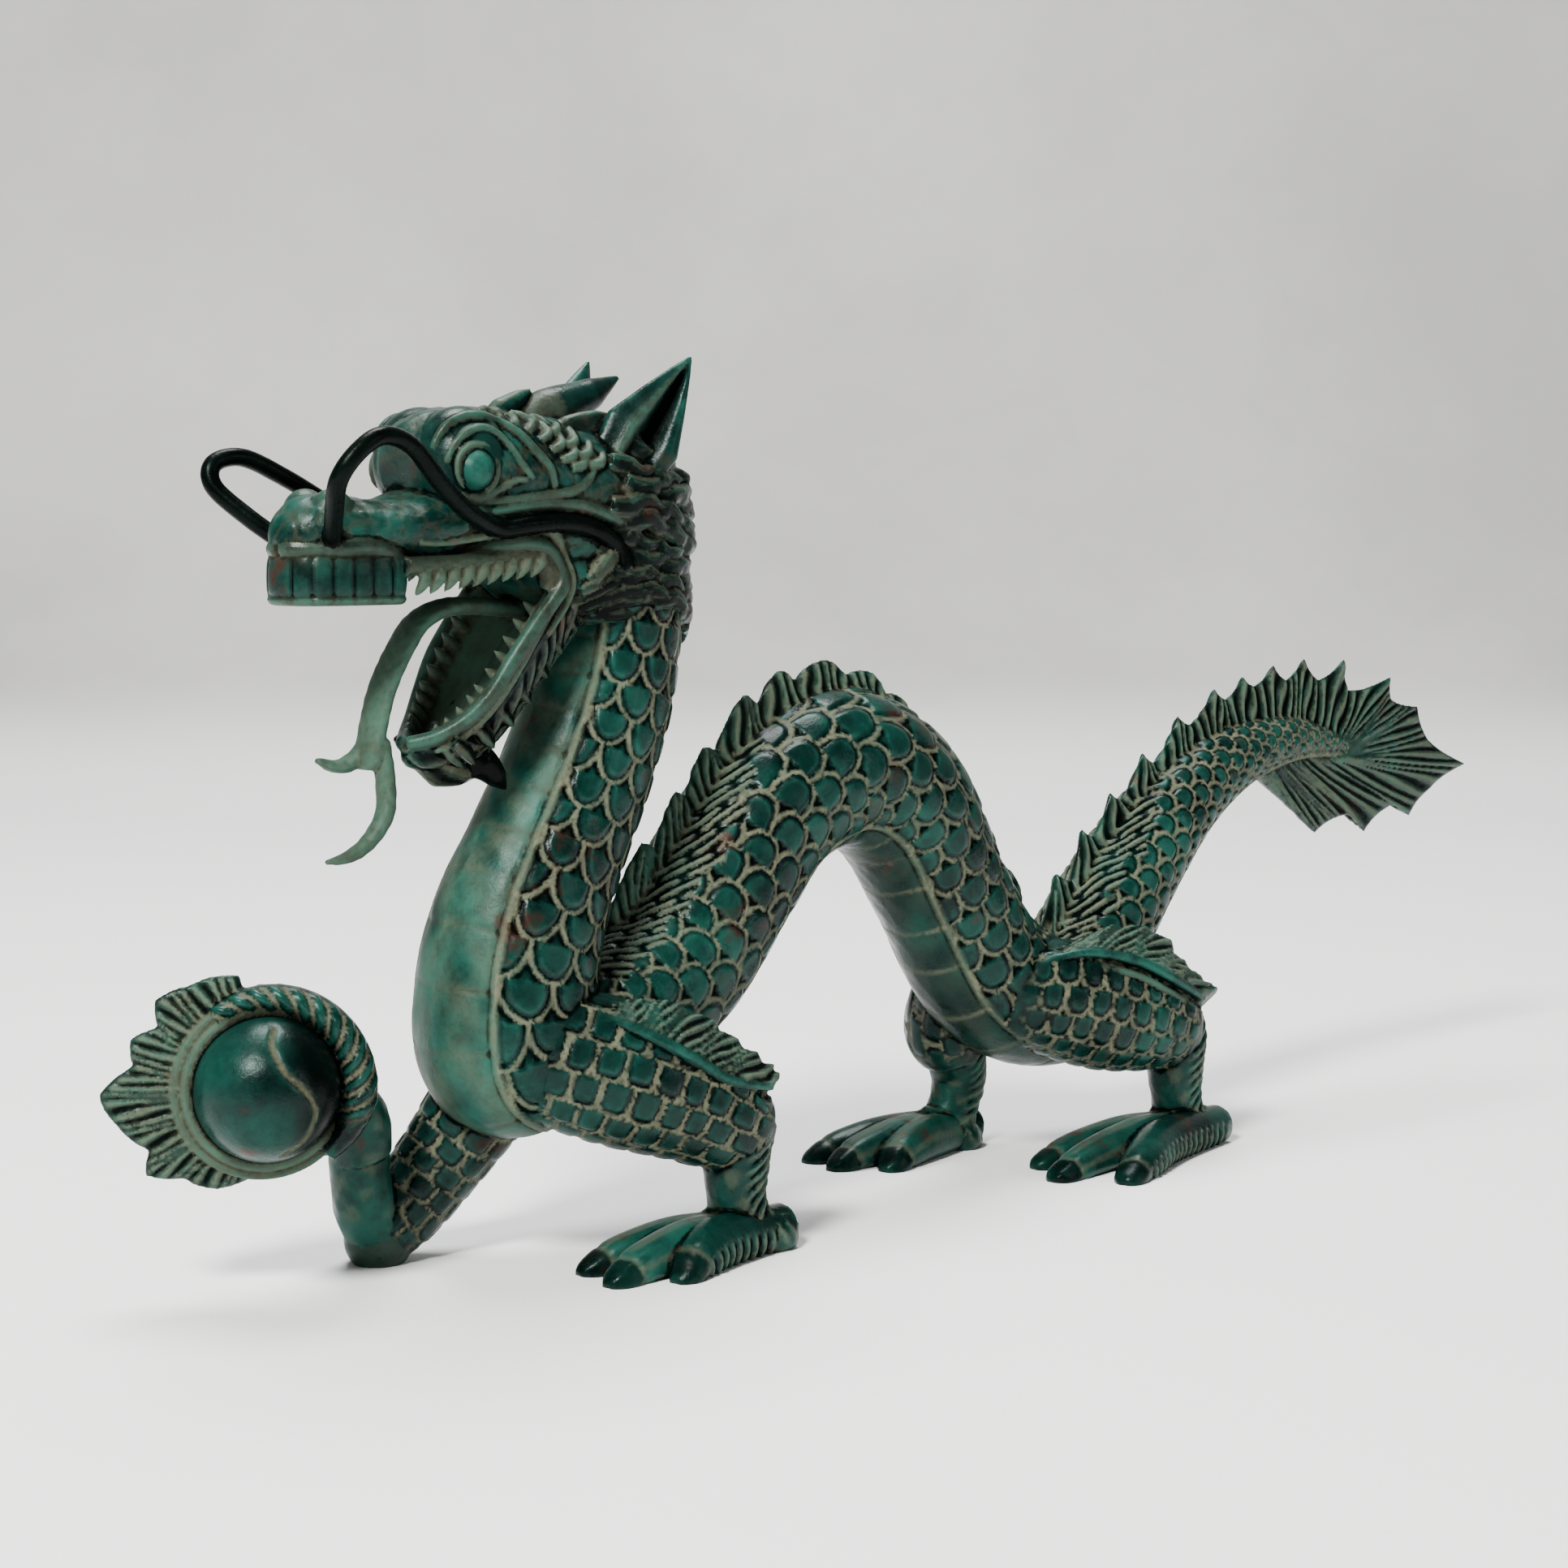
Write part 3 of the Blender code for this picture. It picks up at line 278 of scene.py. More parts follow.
def plate(root, edge, root_half, edge_half, across, gap, rise, tint, swell, toothed=True):
    """Adds a fin between its root line and its edge, with rays that run from root to edge.

    On a toothed edge every second point is a tooth's tip, and each tooth has an odd number of rays.
    Gap is the distance between rays, and rise is how far they stand out. Swell rounds the teeth
    outwards, or hollows their sides where it is negative.
    """
    root, edge = np.array(root, float), np.array(edge, float)
    last = len(root) - 1
    if across is None:
        across = unit_rows(np.cross(edge - root, np.gradient(root, axis=0)).mean(0))
    sides = np.linalg.norm(np.diff(edge, axis=0), axis=1)
    rays = [0.0]
    for i in range(last):
        if toothed:
            first = i - i % 2
            tooth = np.linalg.norm(edge[min(first + 2, last)] - edge[first])
            rays.append(rays[-1] + (2 * int(tooth / gap / 2) + 1) / 2.0)
        else:
            rays.append(rays[-1] + sides[i] / gap)
    knots = [0.0]
    for i in range(last):
        longest = max(np.linalg.norm(root[i + 1] - root[i]), sides[i])
        steps = max(3, int(math.ceil(longest / FINE)))
        knots += [i + (k + 1) / steps for k in range(steps)]
    place = np.array(knots)
    base = np.arange(last + 1)
    foot = np.stack([np.interp(place, base, root[:, k]) for k in range(3)], axis=1)
    rim = np.stack([np.interp(place, base, edge[:, k]) for k in range(3)], axis=1)
    segment = np.minimum(place.astype(int), last - 1)
    bulge = swell * sides[segment] * np.sin(math.pi * (place - segment))
    rim = rim + unit_rows(rim - foot) * bulge[:, None]
    reach = np.linalg.norm(rim - foot, axis=1).max()
    half_columns = max(6, int(reach / FINE))
    share = np.linspace(0.0, 1.0, half_columns)
    loop = np.concatenate([share, share[::-1]])[None, :]
    face = np.concatenate([np.ones(half_columns), -np.ones(half_columns)])[None, :]
    phase = np.interp(place, base, rays)[:, None]
    bend = 0.24 * np.sin(4.5 * loop + 1.7 * phase)
    phase = phase + bend * ramp(loop, 0.0, 0.3)
    ray = -np.cos(2 * math.pi * phase)
    middle = foot[:, None, :] + (rim - foot)[:, None, :] * loop[..., None]
    spread = np.linalg.norm(np.gradient(middle, axis=0), axis=-1)
    apart = spread / np.maximum(np.gradient(phase, axis=0), 1e-3)
    where = ramp(loop, 0.02, 0.14) * (1 - ramp(loop, 0.92, 1.0)) * ramp(apart, 0.9, 1.7)
    half = (root_half * (1 - loop) + edge_half * loop) * np.sqrt(np.maximum(1 - loop ** 12, 0.05))
    half = half + rise * ray * where
    grid = middle + across * (half * face)[..., None]
    paint = np.zeros(grid.shape) + np.array(tint)
    # Tan dust and a painted highlight on the rays, painted shade between them, and darker towards the edge.
    paint[..., TAN] += 0.55 * ramp(ray, 0.3, 0.95) * where
    paint[..., BRIGHT] += 0.35 * ramp(ray, 0.0, 0.9) * where
    paint[..., SHADE] += 0.75 * ramp(-ray, -0.1, 0.9) * where + 0.5 * ramp(loop, 0.93, 0.99)
    clay.add(grid, np.clip(paint, 0, 1), (foot[0] + rim[0]) / 2, (foot[-1] + rim[-1]) / 2)
    return across


def scale_net(along, across, row, width, power):
    """Overlapping U-shaped scales, in a net counted along in rows and across in columns.

    Gives how far a point lies behind its own scale's edge, in rows, and its distance to an edge.
    """
    base = np.floor(along)
    part = along - base
    shallow = 0.12            # where a scale's sides begin, in rows

    def shape(index, ahead):
        shifted = across + 0.5 * (index % 2)
        off = np.abs(shifted - np.round(shifted)) * 2
        depth = np.maximum((ahead - shallow) / (1 - shallow), 0.0)
        level = off ** power + depth ** power - 1
        steep = power * np.hypot(off ** (power - 1) * 2 / width, depth ** (power - 1) / (1 - shallow) / row)
        tip = shallow + (1 - shallow) * np.maximum(1 - off ** power, 0.0) ** (1 / power)
        return level, np.abs(level) / np.maximum(steep, 1.0 / width), tip - ahead

    level, edge, left = shape(base, part)
    _, edge_next, left_next = shape(base + 1, part - 1)
    inside = level < 0
    behind = np.where(inside, left, left_next)
    return behind, np.where(inside, edge, np.minimum(edge, edge_next))


def scaled_skin(row, width, belly=0.0, highlight_and_wear=0.6, fur=None, fur_angle=0.0, scute=9.6, strength=1.0,
                row_end=None, power=2.4, fade=(0.0, 0.0), around=False, bare=0.0):
    """The relief of a scaled tube, with a plain banded belly and a band of fur beside the back ridge.

    Row and width are a scale's size. The scales point to the tube's end, or, with around, from its
    back down its sides. With row_end, their rows shrink to that size. Belly and fur_angle are half
    angles, and scute is the distance between the belly's bands. Bare is the arc of the back that has
    no scales, where a feather lies. The fourth argument sets the dust on the belly, its painted highlight
    and the painted shade between its bands.
    """

    def net(run, angle, radius, length):
        """A point's place in the net, in rows and columns, and how far its scales have shrunk."""
        middle = float(np.mean(radius))
        if around:
            return np.abs(angle) * middle / row, run / width, 1.0
        if row_end is None:
            return run / row, angle / (2 * math.pi) * round(2 * math.pi * middle / width), 1.0
        shrink = (row + (row_end - row) * run / length) / row
        columns = round(2 * math.pi * float(np.max(radius)) / width)
        return length / (row_end - row) * np.log(shrink), angle / (2 * math.pi) * columns, shrink

    def relief(run, angle, radius, length):
        arc = angle * radius
        along, across, shrink = net(run, angle, radius, length)
        along = along + 0.05 * wobble(run, arc, 6.0)
        across = across + 0.05 * wobble(arc, run, 7.0)
        behind, edge = scale_net(along, across, row, width, power)
        edge = edge * shrink
        line = 1 - ramp(edge, 0.20, 0.56)
        groove = bump(edge - 0.85, 0.3)
        lift = strength * (0.36 * (1 - behind / 1.65) + 0.55 * ramp(edge, 0.7, 2.4) - 0.36 * groove
                           + 0.16 * line)
        # Tan dust on each scale's edge, a painted highlight on its domed middle, and painted shade in the
        # groove inside the edge.
        tan = line * (0.80 + 0.20 * wobble(run, arc, 3.0))
        bright = 0.22 * ramp(edge, 1.2, 2.4) * (0.5 + 0.5 * wobble(run, arc, 14.0))
        shade = 0.75 * bump(edge - 0.9, 0.45)
        if belly:
            from_front = math.pi - np.abs(angle)
            inside = ramp((belly - from_front) * radius, -0.4, 0.4)
            cross = np.abs(run / scute - np.round(run / scute)) * scute + 0.2 * wobble(run, arc, 4.0)
            gap = bump(cross, 0.42) * (0.50 + 0.4 * ramp(from_front / belly, 0.25, 0.8))
            # On the belly: tan dust, painted shade in the gaps between its bands, and a painted highlight
            # that fades out near the tube's start, painting shade there.
            dust = highlight_and_wear * 0.25 * (1 + wobble(arc, run, 3.5)) + (0.8 - highlight_and_wear) * gap
            lit = highlight_and_wear * ramp(run, 2.0, 32.0) * (1 + 0.4 * wobble(run, arc, 8.0))
            lift = blend(lift, 0.10 - 0.35 * gap + 0.07 * wobble(run, arc, 2.0), inside)
            tan = blend(tan, dust, inside)
            shade = blend(shade, highlight_and_wear * 0.7 * gap, inside)
            bright = blend(bright, lit, inside)
            border = (from_front - belly) * radius
            rim = bump(border, 0.65)
            beside = bump(np.abs(border) - 1.3, 0.4)
            lift = blend(lift, 0.60, rim) - 0.35 * beside
            # Tan on the belly's raised rim, and painted shade in the groove beside it.
            tan = np.clip(tan + 0.6 * rim, 0, 1)
            shade = np.clip(shade * (1 - rim) + 0.5 * beside, 0, 1)
        if fur:
            start, end = fur
            down = np.abs(arc)
            reach = fur_angle * radius * ramp(run, start - 8, start) * (1 - ramp(run, end - 16, end + 10))
            inside = ramp(reach + 2.6 * wobble(run, down, 2.4) - down, -0.5, 0.9)
            phase = (0.50 * run - 0.87 * down + 0.8 * wobble(run, down, 6.0)) / 2.0
            tips = (0.87 * run + 0.50 * down) / 14.0 + 0.37 * np.floor(phase + 0.5)
            leaf = 1 - 0.8 * bump((tips - np.round(tips)) * 14.0, 1.3)
            stroke = (np.cos(2 * math.pi * phase) + 1) * leaf - 1
            # Tan dust and a painted highlight on the fur's strokes, and painted shade between them.
            dust = 0.85 * ramp(stroke, -0.3, 0.5) * (0.75 + 0.25 * wobble(down, run, 4.0))
            lift = blend(lift, 0.45 + 0.55 * stroke, inside)
            tan = blend(tan, dust, inside)
            shade = blend(shade, 0.9 * ramp(-stroke, 0.0, 0.8), inside)
            bright = blend(bright, 0.30 * ramp(stroke, 0.3, 1.0), inside)
        calm = ramp(run, 0.0, max(fade[0], 0.01)) * (1 - ramp(run, length - max(fade[1], 0.01), length))
        cover = ramp(np.abs(arc), bare, bare + 1.5) if bare else 1.0
        calm = calm * cover
        return lift * calm - 0.9 * (1 - cover), {TAN: tan * calm, SHADE: shade * calm, BRIGHT: bright}

    return relief


def plain_skin(bright, marks=0.0):
    """The relief of a plain limb: slight unevenness, and short slanted ridges on its back."""

    def relief(run, angle, radius, length):
        arc = angle * radius
        behind = ramp(np.cos(angle), -0.5, 0.0) if marks else 0.0
        stroke = np.cos(2 * math.pi * (run - 0.8 * np.abs(arc)) / 3.2)
        patches = 0.22 * ramp(wobble(arc, run, 2.2), 0.1, 0.8)
        lift = 0.12 * wobble(run, arc, 3.0) + 0.10 * wobble(arc, run, 1.3) + marks * 0.42 * behind * stroke
        # Tan patches all over; on the back, tan on the ridges and painted shade between them.
        return lift, {BRIGHT: bright * (1 + 0.5 * wobble(run, arc, 5.0)),
                      SHADE: marks * behind * 0.5 * ramp(-stroke, 0.3, 0.9),
                      TAN: marks * behind * 0.5 * ramp(stroke, 0.4, 0.9) + patches}

    return relief


def wrinkled_skin(run, angle, radius, length):
    """The relief of the head: fine crossing wrinkles with dust and painted shade in them."""
    arc = angle * radius
    crease = bump(wobble(run, arc, 2.6), 0.16) + 0.7 * bump(wobble(arc, run, 1.9), 0.14)
    return -0.22 * crease + 0.14 * wobble(arc, run, 3.0), {
        TAN: 0.16 * ramp(crease, 0.3, 0.9), SHADE: 0.40 * ramp(crease, 0.6, 1.0),
        BRIGHT: 0.38 + 0.3 * wobble(run, arc, 7.0)}


CLAW_LENGTH = 7.0


def ringed_toe(run, angle, radius, length):
    """The relief of the outer toe: ridges across its upper side, tan on them and painted shade between them,
    and a dark claw.
    """
    ridge = np.cos(2 * math.pi * (run / 3.1 + 0.25 * np.cos(angle)))
    where = ramp(np.cos(angle), -0.5, 0.1) * (1 - ramp(run, length - 9.0, length - 6.0)) * ramp(run, 2.0, 5.0)
    claw = bump(run - (length - CLAW_LENGTH), 0.6)
    tip = ramp(run, length - CLAW_LENGTH, length - 6.0)
    return where * 0.6 * ridge - 0.35 * claw, {
        TAN: where * 0.55 * ramp(ridge, 0.4, 0.95) + 0.3 * claw,
        SHADE: 0.7 * where * ramp(-ridge, 0.1, 0.9) + 0.6 * tip}


def smooth_toe(run, angle, radius, length):
    """The relief of an inner toe: a few scratches along it and a groove before its claw."""
    claw = bump(run - (length - CLAW_LENGTH), 0.6)
    tip = ramp(run, length - CLAW_LENGTH, length - 6.0)
    scratch = np.cos(5 * angle + 0.3 * wobble(run, angle, 4.0))
    return -0.35 * claw + 0.16 * scratch, {
        TAN: 0.3 * claw + 0.3 * ramp(-scratch, 0.4, 1.0) * (1 - tip), BRIGHT: 0.45 * (1 - tip),
        SHADE: 0.6 * tip}


def make_trunk():
    loft(TRUNK, scaled_skin(7.0, 9.6, BELLY_HALF_ANGLE, 0.15, (6.0, 92.0), 0.72, 11.5))
    median_fin(BACK_ROOT, BACK_EDGE, 3.2, (0.1, 0.0, 0.2), 0.11)
    fin_ridge(BACK_ROOT[1:])


def make_tail():
    loft(TAIL, scaled_skin(6.0, 8.4, BELLY_HALF_ANGLE, 0.2, (0.0, 60.0), 0.8, 8.0, row_end=2.8))
    median_fin(TAIL_ROOT, TAIL_EDGE, 3.4, (0.05, 0.0, 0.1), -0.09)
    fin_ridge(TAIL_ROOT[1:20])


def fin_ridge(root):
    """A raised line on each side of a fin's foot."""
    for side in (NEAR, FAR):
        wire([(x, 2.6 * side, z) for x, z in root], 1.5, (0.2, 0.0, 0.6))


BACK_ROOT = [
    (-97, 62), (-93, 68), (-86, 76), (-81, 81), (-75, 88), (-70, 94), (-64, 99), (-59, 103),
    (-53, 107), (-48, 109), (-41, 112), (-35, 113), (-27, 113), (-20, 112), (-13, 109),
    (-8, 105), (-3, 100), (1, 95), (5, 89), (8, 82), (11, 76), (15, 70), (19, 64), (23, 59),
    (29, 56),
]
BACK_EDGE = [
    (-99, 70), (-88.5, 87.5), (-85, 86), (-78.8, 98.1), (-76, 96.5), (-70.5, 107.4), (-66.9, 106.3),
    (-58.3, 118.5), (-54.5, 116), (-47.7, 123.5), (-43, 121), (-33.3, 125.2), (-27, 121.5),
    (-18.0, 121.5), (-14, 116.5), (-8.4, 115.2), (-4, 109.6), (4.9, 104.6), (5.8, 98.6), (16.1, 92.6),
    (16.2, 86.6), (24.0, 79.4), (24.6, 73.6), (32.6, 67.6), (33, 59.4),
]
TAIL_ROOT = [
    (42, 52), (45, 56), (51, 60), (55, 64), (62, 70), (66, 74), (73, 80), (77, 83), (85, 88),
    (90, 91), (98, 94), (104, 96), (111, 98), (116, 99), (122, 99.5), (127, 99.5), (133, 99.5),
    (138, 99.3), (145, 98.8), (150, 98), (156, 97), (159, 96), (161, 94.5), (161.5, 93.5),
    (160, 92), (157, 91.5), (152, 92.5), (147, 93), (141, 93.6), (136, 93.8), (130, 93.5),
    (125, 92.5), (120, 91),
]
TAIL_EDGE = [
    (44, 62), (45.9, 69.5), (51.4, 67.0), (55.3, 79.6), (59.6, 77.5), (65.9, 88.0), (69.8, 86.0),
    (78.2, 97.4), (82.5, 94.5), (91.9, 106.0), (96.8, 103.5), (106.5, 112.4), (111.3, 109.3),
    (118.1, 115.1), (123.0, 112.3), (131.0, 117.6), (136.5, 113.3), (144.2, 118.8),
    (150.5, 112.7), (162.0, 118.0), (163.5, 109.5), (183.2, 112.2), (183.5, 106), (196.0, 103.4),
    (201, 94), (219.7, 85.8), (203.0, 80.0), (192.8, 72.7), (186.5, 77.0), (172.0, 69.8),
    (166.5, 75.5), (150.0, 71.2), (126, 87),
]


def median_fin(root, edge, gap, tint, swell):
    """A fin in the dragon's median plane, from the x and z of its root and of its edge."""
    lines = [np.array([(x, 0.0, z) for x, z in line]) for line in (root, edge)]
    plate(*lines, FIN_ROOT / 2, FIN_EDGE / 2, SIDEWAYS, gap, RAY_RISE, tint, swell)


def resampled(line, shares):
    """The points of an evenly sampled line at shares of its length."""
    places = np.linspace(0, 1, len(line))
    return np.stack([np.interp(shares, places, line[:, k]) for k in range(3)], 1)


def feather(stem, top, teeth, side):
    """A feathered fin on a limb: a toothed plate above a rounded stem, with a thin line below it."""
    pick = np.linspace(0, 1, 2 * teeth + 1)
    ahead = pick + 0.9 * pick * (1 - pick)
    low = resampled(spline(stem, 0.5), pick)
    high = resampled(spline(top, 0.5), ahead)
    share = np.where(np.arange(len(pick)) % 2, 1.0, 0.86)[:, None]
    edge = low + (high - low) * share
    across = plate(low, edge, FIN_ROOT / 2, FIN_EDGE, None, 2.4, 0.55, (0.05, 0.0, 0.15), 0.14)
    outward = across * (1 if across[1] * side > 0 else -1)
    wire(low + outward * 1.9, 1.2, (0.0, 0.1, 0.35), 0.5)
    wire(low + outward * 1.0 - UPWARDS * 2.8, 0.8, (0.25, 0.0, 0.4), 0.4)


def make_foot(ankle, heel, toes):
    """A foot: a heel behind the ankle, and toes that run forward. The first toe is ringed."""
    ax, ay = ankle
    loft([(ax - 6, ay, 6, 5.5, 6.0), (ax + 2, ay, 6, 6.5, 6.5), (heel[0] - 4, heel[1], 4, 5.0, 4.6),
          (heel[0] + 0.5, heel[1], 2.6, 2.0, 2.2)], plain_skin(0.2, 0.6))
    for number, (tx, ty, size) in enumerate(toes):
        back = 12.0 if number == 0 else 2.0
        stations = [
            (ax + back, ay + (ty - ay) * 0.12, 5.2, size * 1.0, size * 1.0),
            (ax + (tx - ax) * 0.35, ay + (ty - ay) * 0.42, 5.6, size * 1.15, size * 1.15),
            (ax + (tx - ax) * 0.72, ay + (ty - ay) * 0.76, 4.2, size, size * 0.95),
            (tx + 3.0, ty - (ty - ay) * 0.05, 1.9, size * 0.8, size * 0.62),
            (tx, ty, 0.9, size * 0.35, size * 0.3),
        ]
        loft(stations, smooth_toe if number else ringed_toe)


def make_forelegs():
    """The near foreleg carries the chest. The far one lies on its elbow and lifts the pearl."""
    loft([(-130, -4, 50, 10, 12), (-121, -11, 47, 11.5, 15.0), (-110, -18, 42.5, 11, 15.5),
          (-98, -23, 37, 10, 14.0), (-88, -26.5, 31, 8.8, 11.5), (-80, -27, 27, 7.0, 8.5)],
         scaled_skin(5.4, 6.0, strength=0.9, power=4.0, fade=(14.0, 4.0), around=True, bare=9.5))
    loft([(-82, -27, 36, 5.0, 5.0), (-84.5, -27, 29, 7.4, 8.0), (-85.5, -27, 21, 7.2, 7.2),
          (-85.4, -27, 13, 6.4, 6.4), (-84.0, -27, 5, 7.0, 7.4)], plain_skin(0.2, 1.0))
    make_foot((-85.4, -27), (-73.0, -30.5), [(-112.5, -38.5, 5.0), (-125.0, -31.6, 4.8),
                                             (-123.0, -20.0, 4.5)])
    feather([(-117.8, -20.0, 54.1), (-112.9, -24.5, 51.8), (-105.0, -29.0, 46.9), (-99.7, -30.5, 43.6),
             (-93.5, -32.0, 39.5), (-87.8, -32.5, 37.7), (-80.8, -32.0, 36.0)],
            [(-114.5, -18.0, 55.1), (-107.6, -19.5, 57.8), (-102.5, -21.0, 57.2), (-96.0, -23.0, 55.0),
             (-87.9, -25.0, 50.4), (-84.2, -26.0, 47.0), (-81.3, -27.0, 44.8), (-77.4, -29.0, 41.4),
             (-75.7, -30.5, 38.4)], 7, NEAR)

    loft([(-122, 3, 44, 11, 12), (-126, 9, 34, 9.5, 11), (-133, 14, 22, 8.4, 9.5),
          (-141, 17, 12, 7.6, 8.4), (-147, 18, 7, 6.8, 6.4)],
         scaled_skin(5.4, 6.4, strength=0.8, power=4.0, fade=(10.0, 2.0)))
    orb((-146.5, 18, 6.4), (7.5, 7.2, 7.6), tint=(0.1, 0.2, 0.2))
    loft([(-146, 18, 6, 6.4, 6.4), (-150.5, 17, 14, 6.6, 6.6), (-153, 15.5, 24, 6.0, 6.4),
          (-153.5, 14, 32, 6.6, 6.6)], plain_skin(0.6))


def make_hindlegs():
    """The near hind leg is further back, the far one under the hip."""
    loft([(20, -6, 44, 11, 11), (32, -12, 42, 12, 14.5), (45, -17, 38, 11.5, 15.0),
          (57, -20.5, 34, 10, 12.5), (68, -22, 30, 7.8, 9.0)],
         scaled_skin(5.6, 5.8, strength=0.9, power=3.0, fade=(8.0, 4.0), around=True, bare=8.0))
    loft([(68, -22, 38, 4.6, 4.6), (66.5, -22, 29, 7.2, 7.6), (66.0, -22, 20, 6.8, 6.8),
          (66.8, -22, 12, 6.2, 6.2), (68.5, -22, 5, 7.0, 7.2)], plain_skin(0.2, 1.0))
    make_foot((67.4, -22), (82.0, -22), [(23.5, -42.5, 4.9), (13.5, -29.0, 4.8), (20.5, -16.5, 4.5)])
    feather([(21.5, -15.0, 49.2), (26.9, -18.0, 51.0), (33.9, -21.5, 51.7), (44.1, -26.0, 49.4),
             (52.0, -28.5, 45.7), (63.0, -28.5, 40.1), (69.3, -27.5, 37.0)],
            [(30.9, -12.0, 51.3), (41.2, -15.0, 55.6), (49.6, -17.0, 57.8), (61.3, -20.0, 55.6),
             (64.5, -22.0, 52.2), (66.6, -24.0, 47.5), (69.9, -25.5, 44.1), (76.6, -27.0, 39.5)], 8, NEAR)

    loft([(30, 5, 44, 12, 13), (24, 10, 39, 12, 13.5), (22, 14, 32, 10, 11), (25, 15, 25, 8, 8.6)],
         scaled_skin(5.6, 6.0, strength=0.6, power=4.0, fade=(6.0, 6.0), around=True))
    loft([(21, 14, 34, 7, 7), (25.5, 15, 26, 7.8, 7.8), (27.5, 15.5, 18, 6.6, 6.8),
          (25.0, 15.5, 10, 6.0, 6.6), (22, 15.5, 5, 7.0, 7.2)], plain_skin(0.5, 0.8))
    make_foot((22.5, 15.5), (30.0, 12.0), [(-15.0, 26.0, 4.6), (-16.5, 15.5, 4.8), (-8.0, 6.0, 4.9)])
    feather([(18, 19, 41), (26, 22, 42), (34, 23, 38), (40, 21.5, 31)],
            [(21, 17, 49), (32, 18.5, 51), (42, 19.5, 43), (47, 20, 33)], 5, FAR)


def make_neck():
    loft(NECK, scaled_skin(7.2, 9.0, BELLY_HALF_ANGLE, power=1.9))


PEARL_CENTRE = np.array((-180.5, 8.0, 44.3))
PEARL_TURN = math.radians(25)
PEARL_FACING = np.array((-math.sin(PEARL_TURN), -math.cos(PEARL_TURN), 0.0))
PEARL_LEFT = np.array((-math.cos(PEARL_TURN), math.sin(PEARL_TURN), 0.0))


def by_pearl(left, up, depth=0.0):
    """A point beside the pearl, by its distance to the left, upwards and behind the centre."""
    return PEARL_CENTRE + PEARL_LEFT * left + UPWARDS * up - PEARL_FACING * depth


def pearl_surface(heading):
    """The comma line that is cut into the pearl, with painted shade on the pearl's right side and a painted
    highlight on its upper left.
    """
    comma = spline([(-0.05, 0.90, 0), (0.02, 0.71, 0), (-0.11, 0.40, 0), (-0.35, 0.16, 0), (-0.51, -0.07, 0),
                    (-0.54, -0.31, 0), (-0.41, -0.61, 0), (-0.14, -0.82, 0)], 0.03)
    left = heading @ PEARL_LEFT
    up = heading @ UPWARDS
    front = heading @ PEARL_FACING
    nearest = np.full(left.shape, 9.0)
    for x, y, _ in comma:
        nearest = np.minimum(nearest, np.hypot(left - x, up - y))
    nearest = np.where(front > -0.1, nearest, 9.0)
    groove = bump(nearest, 0.038)
    # Painted shade on the right side of the pearl, and a painted highlight towards its upper left.
    right = ramp(-left - 0.36 + 0.25 * np.abs(up), -0.1, 0.25)
    return -0.65 * groove, {TAN: 0.7 * groove, SHADE: 0.8 * right * (1 - groove),
                            BRIGHT: 0.2 * ramp(up + left, 0.0, 1.0)}


def make_pearl():
    """The pearl in its rings, a leaf of flames behind it, and the paw that curls over it."""
    orb(PEARL_CENTRE, (PEARL_RADIUS,) * 3, pearl_surface)
    flame = [(4.3, 22.6), (14.6, 20.9), (21.3, 18.1), (20.7, 12.8), (26.2, 10.6), (25.8, 5.3), (32.6, -0.3),
             (29.0, -6.8), (22.9, -12.1), (23.7, -17.1), (16.2, -18.2), (9.3, -20.9), (0.3, -17.6),
             (-7.7, -16.2)]
    edge = [by_pearl(left, up, 5) for left, up in flame]
    root = [by_pearl(left * 0.35, up * 0.35, 4) for left, up in flame]
    plate(root, edge, 3.6, 1.0, PEARL_FACING, 2.6, RAY_RISE, (0.1, 0.0, 0.15), 0.08, False)
    for radius, thick, depth in ((PEARL_RADIUS + 1.2, 1.1, 1.2), (PEARL_RADIUS + 3.3, 1.0, 2.2)):
        rim = [by_pearl(radius * math.cos(angle), radius * math.sin(angle), depth)
               for angle in np.radians(np.linspace(128, -150, 28))]
        wire(rim, thick, (0.35, 0.0, 0.45))

    def ridged(run, angle, radius, length):
        ridge = np.cos(2 * math.pi * (run + 0.5 * angle * radius) / 3.7)
        where = ramp(run, 6.0, 14.0) * ramp(np.abs(angle), 0.3, 0.6)
        return 0.42 * ridge * where, {TAN: 0.8 * where * ramp(-ridge, 0.45, 0.95), SHADE: 0.15 * where}

    paw = []
    for share in np.linspace(0.0, 1.0, 10):
        angle = math.radians(-50 + 174 * share)
        reach = PEARL_RADIUS + 4.2 - 1.0 * share
        point = by_pearl(-reach * math.cos(angle), reach * math.sin(angle), 3.2)
        swell = 0.40 + 0.60 * min(1.0, 4.0 * share)
        paw.append((*point, (8.6 - 5.4 * share) * swell, (5.4 - 3.6 * share) * swell))
    loft(paw, ridged, PEARL_FACING)
    loft([(-153.3, 14.5, 26, 6.4, 6.4), (-155.5, 13.5, 34, 8.5, 6.6), (-160.5, 13, 40, 8.0, 6.0)],
         plain_skin(0.4))


